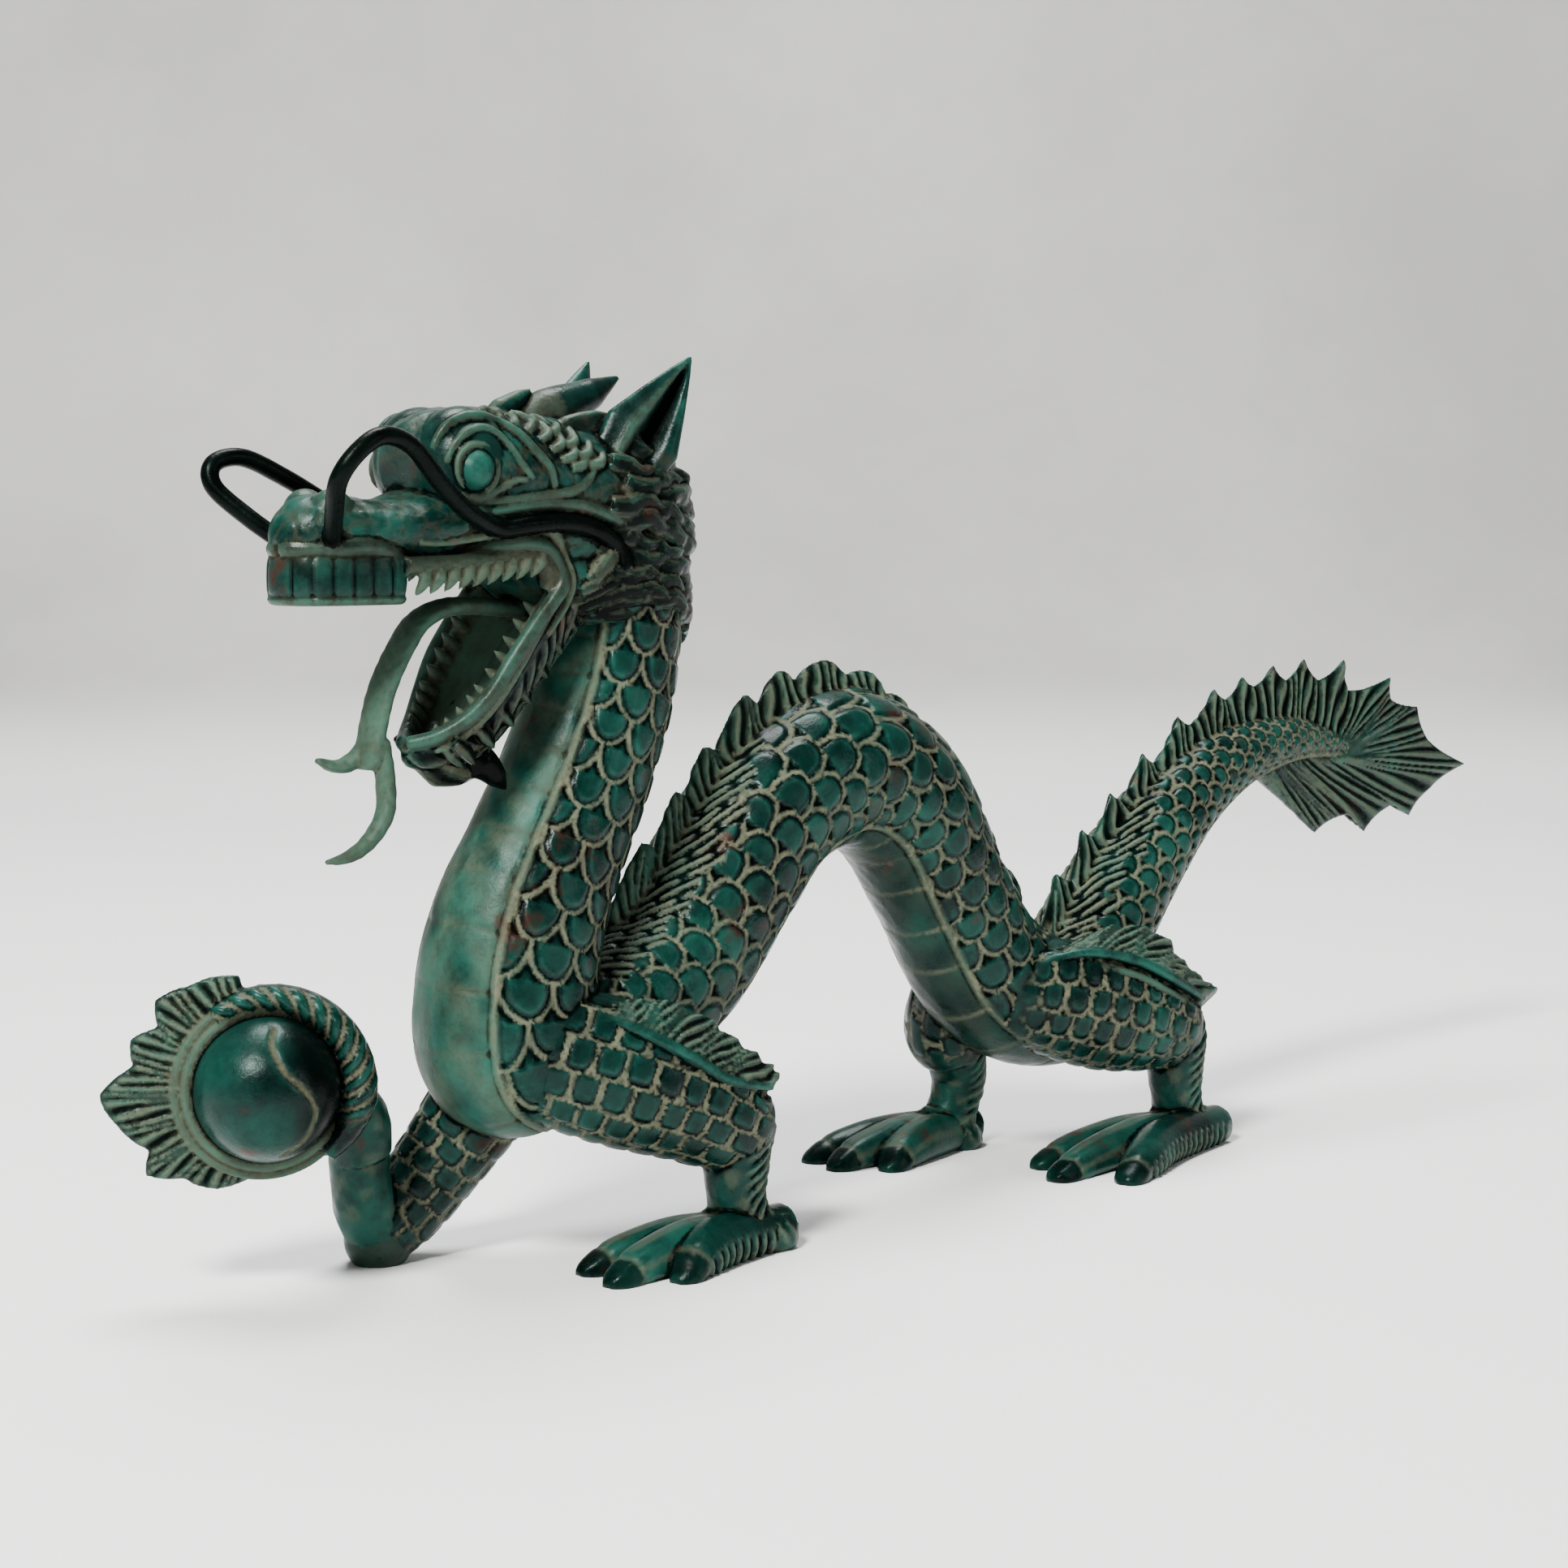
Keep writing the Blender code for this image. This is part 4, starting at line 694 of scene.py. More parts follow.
def skull_forms():
    """The head's main masses, all even about the median plane."""
    loft([(-152, 0, 167, 7, 7), (-146, 0, 168.5, 12.5, 11), (-137, 0, 167.5, 15.0, 13.5),
          (-126, 0, 165.5, 16.2, 14.5), (-113, 0, 163.5, 16.8, 15.5), (-100, 0, 160, 16.2, 16.0),
          (-92, 0, 154, 13.0, 13.5), (-86.5, 0, 148, 9.0, 10.0)], wrinkled_skin)
    loft([(-180, 0, 151.5, 3.5, 3.0), (-178, 0, 153, 6.5, 5.6), (-173.5, 0, 155.5, 9.3, 7.4),
          (-167, 0, 156.0, 11.0, 6.8), (-158, 0, 155.6, 12.2, 6.4), (-147, 0, 157.0, 13.4, 8.0),
          (-135, 0, 158, 15.0, 10.5), (-120, 0, 156, 15.5, 12.0), (-106, 0, 150, 14.5, 13.0)], wrinkled_skin)
    loft([(-128, 0, 150, 12.0, 4.0), (-118, 0, 147, 14.5, 9.0), (-106, 0, 145, 15.0, 12.0),
          (-95, 0, 145, 14.0, 13.0)], wrinkled_skin)
    for side in (NEAR, FAR):
        orb((-171.5, 4.6 * side, 159.5), (4.6, 4.2, 4.6), tint=(0.1, 0.0, 0.2))
        orb((-141.5, 6.6 * side, 169.5), (10.6, 8.8, 11.2), tint=(0.0, 0.0, 0.25))


def front_teeth_block():
    """The upper jaw's front: a smooth block, rounded in plan, with upright grooves between its teeth."""
    half = [(-157.0, 9.0, 0), (-159.0, 11.4, 0), (-165.8, 11.2, 0), (-171.5, 10.4, 0), (-177.0, 8.4, 0),
            (-180.6, 5.0, 0), (-181.8, 0.0, 0)]
    around = spline(half + [(x, -y, 0) for x, y, _ in half[-2::-1]], 0.3)[:, :2]
    run = lengths_along(around)
    middle = run[-1] / 2
    tooth = 4.3
    phase = np.abs(run - middle) / tooth
    gap = bump((phase - np.round(phase)) * tooth, 0.34) * ramp(np.abs(run - middle), 0.5, 1.0)
    level = np.array([141.2, 141.2, 141.5, 142.4, 143.0, 143.6, 145.0, 147.0, 149.0, 150.4, 151.4, 152.2])
    inset = np.array([6.0, 1.2, 0.5, 0.0, 0.5, 0.1, 0.0, 0.0, 0.1, 0.4, 1.0, 3.0])
    deep = np.array([0.0, 0.0, 0.1, 0.3, 0.8, 0.9, 1.0, 1.0, 0.9, 0.7, 0.3, 0.0])
    goals = np.arange(level[0], level[-1], 0.3)
    inset, deep = np.interp(goals, level, inset)[:, None], np.interp(goals, level, deep)[:, None]
    outward = unit_rows(np.stack([np.gradient(around[:, 1]), -np.gradient(around[:, 0])], axis=1))
    outward = outward * np.sign(np.sum(outward * (around - (-165.0, 0.0)), axis=1))[:, None]
    push = -inset - 0.75 * deep * gap[None, :] + 0.06 * wobble(run[None, :], goals[:, None], 2.0)
    grid = np.zeros((len(goals), len(run), 3))
    grid[..., :2] = around[None] + outward[None] * push[..., None]
    grid[..., 2] = goals[:, None]
    paint = np.zeros(grid.shape)
    # Painted shade in the grooves between the teeth; the faces lighter.
    paint[..., SHADE] = 0.7 * deep * gap
    paint[..., BRIGHT] = 0.40 * (1 - gap) * (0.6 + 0.4 * wobble(run[None, :], goals[:, None], 3.0))
    paint[..., TAN] = 0.25 * (1 - deep)
    low, high = [np.array((-168.0, 0.0, goals[end])) for end in (0, -1)]
    clay.add(grid, np.clip(paint, 0, 1), low, high)


def make_eyes(drape):
    """The eyeballs in their rings, with the lids, the brow's rim and the folds of the cheek."""
    folds = (
        (0.85, (0.2, 0.0, 0.5), [(-149.4, 169.6), (-146.8, 174.0), (-142.4, 176.2), (-138.2, 175.4),
                                 (-135.0, 173.0), (-132.5, 169.1), (-130.2, 166.3)]),
        (1.2, (0.15, 0.0, 0.35), [(-151.0, 172.0), (-148.6, 176.0), (-145.0, 178.2), (-140.8, 178.6),
                                  (-135.1, 177.6), (-131.6, 175.5), (-128.7, 171.8), (-125.8, 168.2),
                                  (-124.7, 164.5)]),
        (0.7, (0.3, 0.0, 0.3), [(-149.2, 165.0), (-145.6, 162.6), (-140.4, 162.6), (-134.7, 165.6),
                                (-131.5, 165.8)]),
        (0.9, (0.2, 0.0, 0.25), [(-147.5, 161.0), (-138.0, 161.6), (-128.1, 162.6), (-119.2, 164.0),
                                 (-114.3, 168.2), (-113.7, 172.4)]),
        (1.2, (0.15, 0.0, 0.3), [(-139.0, 159.4), (-126.7, 161.0), (-117.2, 160.4), (-110.0, 158.3),
                                 (-105.1, 156.4), (-100.0, 153.6)]),
    )
    for side in (NEAR, FAR):
        orb((-143.4, 13.6 * side, 167.9), (4.1, 3.9, 4.1), tint=(0.0, 0.0, 0.9))
        ring = [(-143.4 + 5.0 * math.cos(a), 14.6 * side, 167.9 + 5.0 * math.sin(a))
                for a in np.radians(np.linspace(-60, 230, 20))]
        wire(ring, 0.7, (0.3, 0.0, 0.4), 0.5)
        for radius, tint, line in folds:
            wire(drape(line, side, 0.0), radius, tint, 0.5)


def make_brows(drape):
    """The flame-like strokes behind the brow, in two rows, and the little peak on top of them."""
    arc = spline([(-138.5, 178.2, 0), (-132.5, 176.4, 0), (-127.5, 173.2, 0), (-123.5, 169.0, 0),
                  (-119.0, 166.4, 0)], 0.5)
    for side in (NEAR, FAR):
        for row, (offset, length) in enumerate(((1.6, 6.2), (5.2, 6.2))):
            for number in range(9):
                share = (number + 0.5 * row) / 9.0
                i = min(int(share * (len(arc) - 1)), len(arc) - 2)
                x, z, _ = arc[i]
                heading = math.radians(48 - 42 * share)
                outward = math.radians(78 - 60 * share)
                x, z = x + offset * math.cos(outward), z + offset * math.sin(outward)
                path = [(x, z), (x + 0.5 * length * math.cos(heading), z + 0.5 * length * math.sin(heading)),
                        (x + length * math.cos(heading + 0.35), z + length * math.sin(heading + 0.35))]
                lock(drape(path, side, 0.35), 1.05, 0, 0.0, (0.1, 0.0, 0.3))
    lock([(-130.0, 0, 177.0), (-124.0, 0, 180.8), (-118.2, 0, 184.6)], 3.0, 2, 0.1, (0.0, 0.1, 0.2))


def make_ear(side):
    """An upright ear with a deep slot and a rib in its front."""
    root = np.array((-104.0, 12.5 * side, 168.0))
    tip = np.array((-88.6, 17.0 * side, 191.8))
    axis = (tip - root) / np.linalg.norm(tip - root)
    ahead = unit_rows(np.array((-0.35, 0.94 * side, 0.0)))
    across = unit_rows(np.cross(axis, ahead))
    outward = np.cross(across, axis) * (1 if np.cross(across, axis) @ ahead > 0 else -1)
    share = np.linspace(0.0, 1.0, int(28 / FINE))
    width = np.interp(share, (0.0, 0.3, 0.6, 0.85, 1.0), (8.0, 9.1, 5.6, 2.4, 0.3))
    depth = np.interp(share, (0.0, 0.3, 0.6, 0.85, 1.0), (4.5, 4.4, 3.2, 1.8, 0.3))
    share, width, depth = share[:, None], width[:, None], depth[:, None]
    turn = np.linspace(0, 2 * math.pi, 64, endpoint=False)[None, :]
    front = np.maximum(np.sin(turn), 0.0)
    lateral = np.cos(turn)
    slot = bump(lateral - 0.18, 0.34) * front * ramp(share, 0.02, 0.16) * (1 - ramp(share, 0.80, 0.97))
    rib = bump(lateral + 0.40, 0.16) * front
    push = np.where(np.sin(turn) > 0, 0.62, 1.0) * np.sin(turn) - 1.05 * slot + 0.22 * rib
    core = root + (tip - root) * share
    grid = core[:, None, :] + across * (width * lateral)[..., None] + outward * (depth * push)[..., None]
    # Painted shade in the slot, and tan with lighter verdigris on the rib.
    paint = painted(grid.shape, UNPAINTED, {SHADE: 1.3 * slot, BRIGHT: 0.1 + 0.4 * rib, TAN: 0.2 * rib})
    clay.add(grid, paint, root - axis * 3, tip)


def make_crest_and_ears():
    lock([(-124, 0, 174), (-113, 0, 180.0), (-104.0, 0, 183.2), (-94.6, 0, 187.6)], 5.4, 0, 0.0,
         (0.0, 0.1, 0.15))
    for side in (NEAR, FAR):
        lock([(-119, 6 * side, 173), (-111, 7.5 * side, 177.0), (-103.0, 8 * side, 179.5)], 3.2, 3, 0.14,
             (0.05, 0.0, 0.15))
        make_ear(side)


def make_whiskers(drape):
    """A thin bar on each side that loops from the nose up and back, and runs on over the cheek."""
    near_loop = [(-173.8, -8.0, 153.6), (-177.5, -14, 159.5), (-180.4, -20, 165.9), (-177.1, -22, 171.3),
                 (-171.4, -22, 174.2), (-164.0, -21, 172.2), (-155.8, -19, 165.2), (-147.5, -17, 159.4)]
    far_loop = [(-174.0, 8.0, 153.2), (-179.0, 13, 158.2), (-183.6, 18.5, 164.4), (-182.6, 20, 169.0),
                (-176.0, 19.5, 170.2), (-166.3, 18.5, 166.0), (-155.8, 18, 160.5), (-147.5, 16.6, 157.2)]
    cheek = [(-138.5, 156.2), (-131.4, 156.8), (-124.0, 157.2), (-117.5, 156.6), (-111.6, 154.6),
             (-107.2, 151.4),
             (-105.6, 147.6)]
    for side, loop in ((NEAR, near_loop), (FAR, far_loop)):
        wire([*loop, *drape(cheek, side, 0.7)], WHISKER_RADIUS, (0.0, 0.95, 0.0))


def make_lips(drape):
    """The raised double lip that runs from the nose to the corner of the mouth and down along the jaw."""
    upper = [(-176.6, 151.2), (-172.3, 152.6), (-167.4, 153.0), (-161.5, 151.8), (-156.5, 150.4),
             (-149.9, 150.3),
             (-142.7, 151.4), (-135.4, 152.9), (-129.2, 153.0), (-124.9, 151.4), (-122.3, 148.0)]
    corner = [(-121.9, 14.8, 144.6), (-124.5, 14.6, 141.0), (-129.0, 14.2, 135.8), (-134.0, 13.6, 129.4),
              (-138.4, 12.0, 122.4), (-142.5, 9.2, 117.4), (-147.0, 5.4, 114.0), (-151.0, 0.8, 112.4)]
    for side in (NEAR, FAR):
        path = drape(upper, side, 0.4)
        path[0] = (-179.0, 4.2 * side, 152.3)
        bend = [(x, y * side, z) for x, y, z in corner]
        wire([(-180.6, 0.8 * side, 152.6), *path, *bend], LIP_RADIUS, (0.15, 0.0, 0.2))
        second = drape([(x + 1.0, z + 3.0) for x, z in upper[4:]], side, 0.1)
        wire([*second, (-119.2, 14.8 * side, 145.6), (-120.4, 14.2 * side, 140.4),
              (-124.6, 13.2 * side, 134.2)],
             0.9, (0.4, 0.0, 0.2), 0.5)
        for number in range(9):
            share = number / 8.0
            x, z = -156.0 + 27.5 * share, 144.2 + 3.2 * share
            y = (12.2 + 1.9 * share) * side
            lock([(x + 1.8, y, z + 3.8), (x + 0.5, y + 0.5 * side, z + 1.2), (x - 1.5, y, z - 1.5)],
                 1.35, 0, 0.0, (0.20, 0.0, 0.15))
        # The gum behind the side teeth: tan, and darkened as painted shade between them.
        wire([(-158.5, 11.0 * side, 148.8), (-145.0, 12.2 * side, 149.2), (-130.0, 13.2 * side, 150.6),
              (-124.5, 13.2 * side, 147.4), (-124.0, 12.8 * side, 143.6)], 1.9, (0.35, 0.45, 0.0))


JAW = [
    (-111, 0, 144, 12.5, 9.0), (-121, 0, 134, 14.0, 8.4), (-130, 0, 123.0, 13.6, 7.4),
    (-136, 0, 115.8, 11.6, 6.6), (-142.5, 0, 111.2, 8.2, 5.0), (-148.5, 0, 110.0, 4.6, 3.0),
    (-151.5, 0, 110.6, 1.6, 1.2),
]


def make_jaw():
    """The open lower jaw: a trough with a smooth floor, a raised rim and a row of teeth."""
    line = spline(JAW, FINE)
    centre, across, up = cross_frames(line, SIDEWAYS)
    width, height = line[:, 3:4], line[:, 4:5]
    outer = np.linspace(0, math.pi, 60)
    inner = np.linspace(-0.80, 0.80, 40)
    side_share = np.concatenate([np.cos(outer), inner])[None, :]
    depth_share = np.concatenate([1.0 - 2.0 * np.sin(outer), 0.32 + 0.62 * np.abs(inner / 0.8) ** 4])[None, :]
    run = lengths_along(line)[:, None]
    inside = np.concatenate([np.zeros(60), np.ones(40)])[None, :]
    phase = (run * 0.45 - side_share * width * 0.9 + 0.5 * wobble(run, side_share * 9, 3.0)) / 2.0
    fur = np.cos(2 * math.pi * phase) * (1 - inside) * ramp(1 - np.abs(side_share), 0.02, 0.1)
    middle = bump(side_share * width, 1.2) * inside
    reach = width * side_share * (1 + 0.025 * fur)
    depth = height * depth_share + 0.45 * middle + np.where(inside > 0, 0, -0.35) * fur
    grid = (centre[:, None, :] + across[:, None, :] * reach[..., None]
            - up[:, None, :] * depth[..., None])
    paint = np.zeros(grid.shape)
    paint[..., TAN] = 0.30 * ramp(fur, 0.3, 0.9) + 0.35 * inside
    # Painted shade between the fur's strokes, a little over all the underside, and in the floor's middle
    # groove.
    paint[..., SHADE] = (0.8 * ramp(-fur, 0.2, 0.8) + 0.1) * (1 - inside) + 0.5 * middle
    paint[..., BRIGHT] = 0.95 * inside
    clay.add(grid, np.clip(paint, 0, 1), centre[0], centre[-1])
    for side in (NEAR, FAR):
        for share in np.linspace(0.26, 0.90, 10):
            i = int(share * (len(line) - 1))
            foot = centre[i] + across[i] * side * width[i] * 0.80 - up[i] * height[i] * 0.3
            tip = foot - up[i] * (height[i] * 0.7 + 2.6) - across[i] * side * 0.9
            lock([foot, (foot + tip) / 2, tip], 1.5, 0, 0.0, (0.2, 0.35, 0.1))
        rim = []
        for share in np.linspace(0.12, 0.93, 9):
            i = int(share * (len(line) - 1))
            rim.append(centre[i] + across[i] * side * width[i] * 1.02 - up[i] * (height[i] - 2.6))
        wire(rim, 0.8, (0.3, 0.0, 0.2), 0.5)


def make_tongue():
    """The tongue hangs out of the mouth and forks into two curled ends."""
    def ribbed(run, angle, radius, length):
        middle = bump(angle, 0.3)
        speck = 0.10 * wobble(run, angle * radius, 0.8)
        return -0.5 * middle + speck, {BRIGHT: 0.5 + 0.4 * speck, TAN: 0.30 + 0.3 * middle}

    flat = (4.2, 2.0)
    loft([(-122, 1, 139) + flat, (-138, 1, 140.0) + flat, (-146.6, 1, 137.4) + flat,
          (-151.6, 1, 131.6) + flat,
          (-155.2, 2, 124) + flat, (-157.2, 2.5, 116.5) + flat, (-158.4, 2.5, 110.5, 4.0, 2.0),
          (-158.6, 2.5, 107.5, 2.4, 1.6)], ribbed)
    loft([(-156.8, 0.8, 113.5, 2.4, 1.8), (-156.2, 0, 105, 2.5, 1.9), (-157.3, -1, 98.5, 2.4, 1.8),
          (-161.5, -1, 93.2, 2.1, 1.6), (-166.5, -1, 90.6, 1.7, 1.3), (-171.6, -1, 90.0, 0.7, 0.6)], ribbed)
    loft([(-157.6, 3.6, 113.5, 2.2, 1.8), (-160.0, 5.0, 109.6, 2.3, 1.9), (-164.0, 6.0, 108.2, 2.0, 1.5),
          (-168.6, 6.4, 109.8, 0.7, 0.7)], ribbed)


def make_mane(around):
    """Wavy locks in layers round the back of the head, which overhang the neck."""
    for side in (NEAR, FAR):
        for layer in range(9):
            top = 172.5 - 3.7 * layer
            for number, (start, length) in enumerate(((116, 44), (86, 44), (56, 44), (28, 40))):
                begin = start + (6 if layer % 2 else -4)
                drop = 3.0 + 1.3 * number
                path = []
                for step in range(5):
                    share = step / 4.0
                    turn = math.radians(begin - length * share)
                    wave = 1.0 * math.sin(2 * math.pi * share + layer * 1.3 + number)
                    height = top - drop * (number + share) * 0.44 + wave
                    path.append(around(turn * side, height, 0.4 + 1.5 * share ** 2))
                # The tint darkens the locks, partly as dark patina and partly as painted shade.
                lock(path, 2.1, 2, 0.24, (0.06, 0.25, 0.0))


def make_beard():
    """Shaggy locks under the jaw, with one dark spike that points at the neck."""
    for side in (NEAR, FAR):
        for x, z in ((-114, 137), (-118, 132.5), (-122, 127.5), (-126.5, 122.5), (-131, 118),
                     (-136, 113.8), (-141, 110.8)):
            for row in range(2):
                y = (9.6 - 4.2 * row) * side
                lock([(x - 5, y, z + 2.4 - row), (x - 1.6, y, z - 0.6 - row),
                      (x + 1.2, y * 0.85, z - 2.6 - row * 0.6)], 1.8, 3, 0.2, (0.1, 0.4, 0.0))
    lock([(-138, -2, 110), (-133, -3, 107), (-128.6, -4, 102.0)], 3.4, 2, 0.1, (0.0, 0.8, 0.0))
    lock([(-147, 0, 110), (-140, 0, 107), (-133, 0, 105)], 4.4, 4, 0.14, (0.15, 0.3, 0.0))


def make_cheek_strokes(drape):
    """Short strokes behind the corner of the mouth, and long ones that run on under the mane."""
    for side in (NEAR, FAR):
        for number in range(6):
            x, z = -117.6 + 1.2 * number, 140.5 + 2.5 * number
            lock(drape([(x, z), (x + 3.6, z + 1.8), (x + 7.0, z + 4.2)], side, 0.4), 1.1, 2, 0.1,
                 (0.2, 0.1, 0.1))
        lock(drape([(-114.0, 146.0), (-108.0, 151.0), (-103.0, 152.0)], side, 0.5), 1.9, 2, 0.12,
             (0.3, 0.0, 0.1))
        for number in range(4):
            z = 145.5 - 2.6 * number
            lock(drape([(-116.0, z - 4.0), (-106.0, z), (-95.0, z - 0.6), (-88.0, z - 4.0)], side, 0.6),
                 1.5, 2, 0.12, (0.1, 0.4, 0.0))


def make_head():
    """The skull first, and then what lies on it."""
    first = len(clay.points)
    skull_forms()
    grids = clay.points[first:]
    quads, triangles = clay.quads[-len(grids) // 2:], clay.triangles[-len(grids):]
    offset = sum(len(points) for points in clay.points[:first])
    points = np.concatenate(grids)
    polygons = [tuple(face) for group in quads + triangles for face in (group - offset).tolist()]
    tree = BVHTree.FromPolygons([tuple(point) for point in points], polygons)

    def drape(path, side, lift):
        """The points of x and z, laid on the skull's near or far side and lifted off it."""
        laid = []
        for x, z in path:
            hit, _, _, _ = tree.ray_cast(Vector((x, 45.0 * side, z)), Vector((0.0, -side, 0.0)))
            if hit:
                laid.append((x, hit.y + lift * side, z))
            else:
                edge, _, _, _ = tree.find_nearest(Vector((x, 9.0 * side, z)))
                laid.append((edge.x, edge.y, edge.z + lift))
        return np.array(laid)

    def around(turn, height, lift):
        """A point on the back of the head, by its turn from the very back towards a side."""
        axis = Vector((-100.0, 0.0, height))
        heading = Vector((math.cos(turn), math.sin(turn), 0.0))
        hit, _, _, _ = tree.ray_cast(axis + heading * 45.0, -heading)
        reach = (hit - axis).length if hit else 12.0
        shape = 18.6 * math.cos(turn) ** 2 + 14.6 * math.sin(turn) ** 2 if math.cos(turn) > 0 else 14.6
        reach = max(reach, shape * (1.0 if height < 166 else 0.85))
        return np.array(axis + heading * (reach + lift))

    front_teeth_block()
    make_eyes(drape)
    make_brows(drape)
    make_crest_and_ears()
    make_whiskers(drape)
    make_lips(drape)
    make_cheek_strokes(drape)
    make_mane(around)


def placed(name, data):
    """A new object in the scene."""
    made = bpy.data.objects.new(name, data)
    bpy.context.scene.collection.objects.link(made)
    return made


def evaluated(made):
    bpy.context.view_layer.update()
    return bpy.data.meshes.new_from_object(made.evaluated_get(bpy.context.evaluated_depsgraph_get()))


def read(items, name, width, kind=np.float32):
    """One property of a mesh's points, edges or faces, as rows."""
    flat = np.empty(len(items) * width, kind)
    items.foreach_get(name, flat)
    return flat.reshape(-1, width)


def coordinates(mesh):
    return read(mesh.vertices, "co", 3).astype(float)


def edges_of(mesh):
    return read(mesh.edges, "vertices", 2, np.int32)


def relaxed(points, edges, rounds, amount=1.0):
    """Each point moved towards the mean of its neighbours, again and again."""
    count = len(points)
    degree = np.bincount(edges.ravel(), minlength=count)[:, None]
    for _ in range(rounds):
        total = np.stack([
            np.bincount(edges[:, 0], points[edges[:, 1], k], count)
            + np.bincount(edges[:, 1], points[edges[:, 0], k], count) for k in range(points.shape[1])],
            axis=1)
        points = points + amount * (total / degree - points)
    return points


def normals_of(mesh):
    return read(mesh.vertex_normals, "vector", 3).astype(float)


def keep_largest_shell(points, edges):
    """True for the points of the outer surface, and not of the closed pockets inside."""
    label = np.arange(len(points))
    while True:
        least = np.minimum(label[edges[:, 0]], label[edges[:, 1]])
        new = label.copy()
        np.minimum.at(new, edges[:, 0], least)
        np.minimum.at(new, edges[:, 1], least)
        new = new[new]
        new = new[new]
        if np.array_equal(new, label):
            break
        label = new
    names, sizes = np.unique(label, return_counts=True)
    return label == names[np.argmax(sizes)]


def add_values(mesh, name, values):
    mesh.attributes.new(name, "FLOAT", "POINT").data.foreach_set("value", values.astype(np.float32))


def cast(name, makers, grain, most):
    """Melts the makers' forms into one closed mesh, thins it out and gives it its attributes.

    Hollow and broad say how far a point lies below the surface when that is smoothed a little or a lot. The
    patina paints shade from both, and verdigris on raised parts from hollow.
    """
    global clay
    clay = Clay()
    for maker in makers:
        maker()
    grain = grain * COARSER
    rough = placed("rough", clay.mesh("rough"))
    melt = rough.modifiers.new("melt", "REMESH")
    melt.mode = "VOXEL"
    melt.voxel_size = grain
    melted = evaluated(rough)
    bpy.data.objects.remove(rough)

    points, edges = coordinates(melted), edges_of(melted)
    outer = keep_largest_shell(points, edges)
    quads = read(melted.polygons, "vertices", 4, np.int32)
    quads = quads[outer[quads[:, 0]]]
    place = np.cumsum(outer) - 1
    body = mesh_of(name, points[outer], place[quads], np.zeros((0, 3), int))
    edges = edges_of(body)
    points = relaxed(points[outer], edges, 1, 0.5)
    points[:, 2] = np.maximum(points[:, 2], SOLE_HEIGHT)
    body.vertices.foreach_set("co", points.astype(np.float32).ravel())
    body.update()
    normals = normals_of(body)
    soft = points
    for label, area in (("hollow", 1.5), ("broad", 10.0)):
        soft = relaxed(soft, edges, int(area / grain ** 2))
        add_values(body, label, np.einsum("ij,ij->i", soft - points, normals))

    piece = placed(name, body)
    fewer = piece.modifiers.new("fewer", "DECIMATE")
    fewer.ratio = min(1.0, most / (2.0 * len(body.polygons)))
    fewer.use_collapse_triangulate = True
    finished = evaluated(piece)
    piece.modifiers.clear()
    piece.data = finished
    paint(piece)
    print(name, len(finished.polygons), "triangles, from", len(body.polygons), "quads")
    return piece


def paint(piece):
    """Takes each point's paint from the nearest point of the forms."""
    sources = np.concatenate(clay.points)
    colours = np.concatenate(clay.paint)
    tree = KDTree(len(sources))
    for i, point in enumerate(sources.tolist()):
        tree.insert(point, i)
    tree.balance()
    nearest = np.array([tree.find(point)[1] for point in coordinates(piece.data).tolist()])
    found = colours[nearest]
    for channel, name in ((TAN, "tan"), (SHADE, "shade"), (BRIGHT, "bright")):
        add_values(piece.data, name, found[:, channel])


# The casting in four meshes that run into one another.
# Each has its makers, the grain at which they are melted, and its most triangles.
pieces = [
    cast("dragon_head", (make_head, make_jaw, make_tongue, make_beard), 0.42, 190000),
    cast("dragon_front", (make_neck, make_forelegs, make_pearl), 0.46, 180000),
    cast("dragon_trunk", (make_trunk, make_hindlegs), 0.50, 190000),
    cast("dragon_tail", (make_tail,), 0.42, 110000),
]

# Into metres, with the middle of the underside of the whole box at the origin, as the solid has it
low = np.min([coordinates(piece.data).min(0) for piece in pieces], axis=0)
high = np.max([coordinates(piece.data).max(0) for piece in pieces], axis=0)
shift = np.array(((low[0] + high[0]) / 2, (low[1] + high[1]) / 2, low[2]))
for piece in pieces:
    points = (coordinates(piece.data) - shift) * UNIT
    piece.data.vertices.foreach_set("co", points.astype(np.float32).ravel())
    piece.data.polygons.foreach_set("use_smooth", np.ones(len(piece.data.polygons), bool))
    piece.data.update()
print("box", low, high)


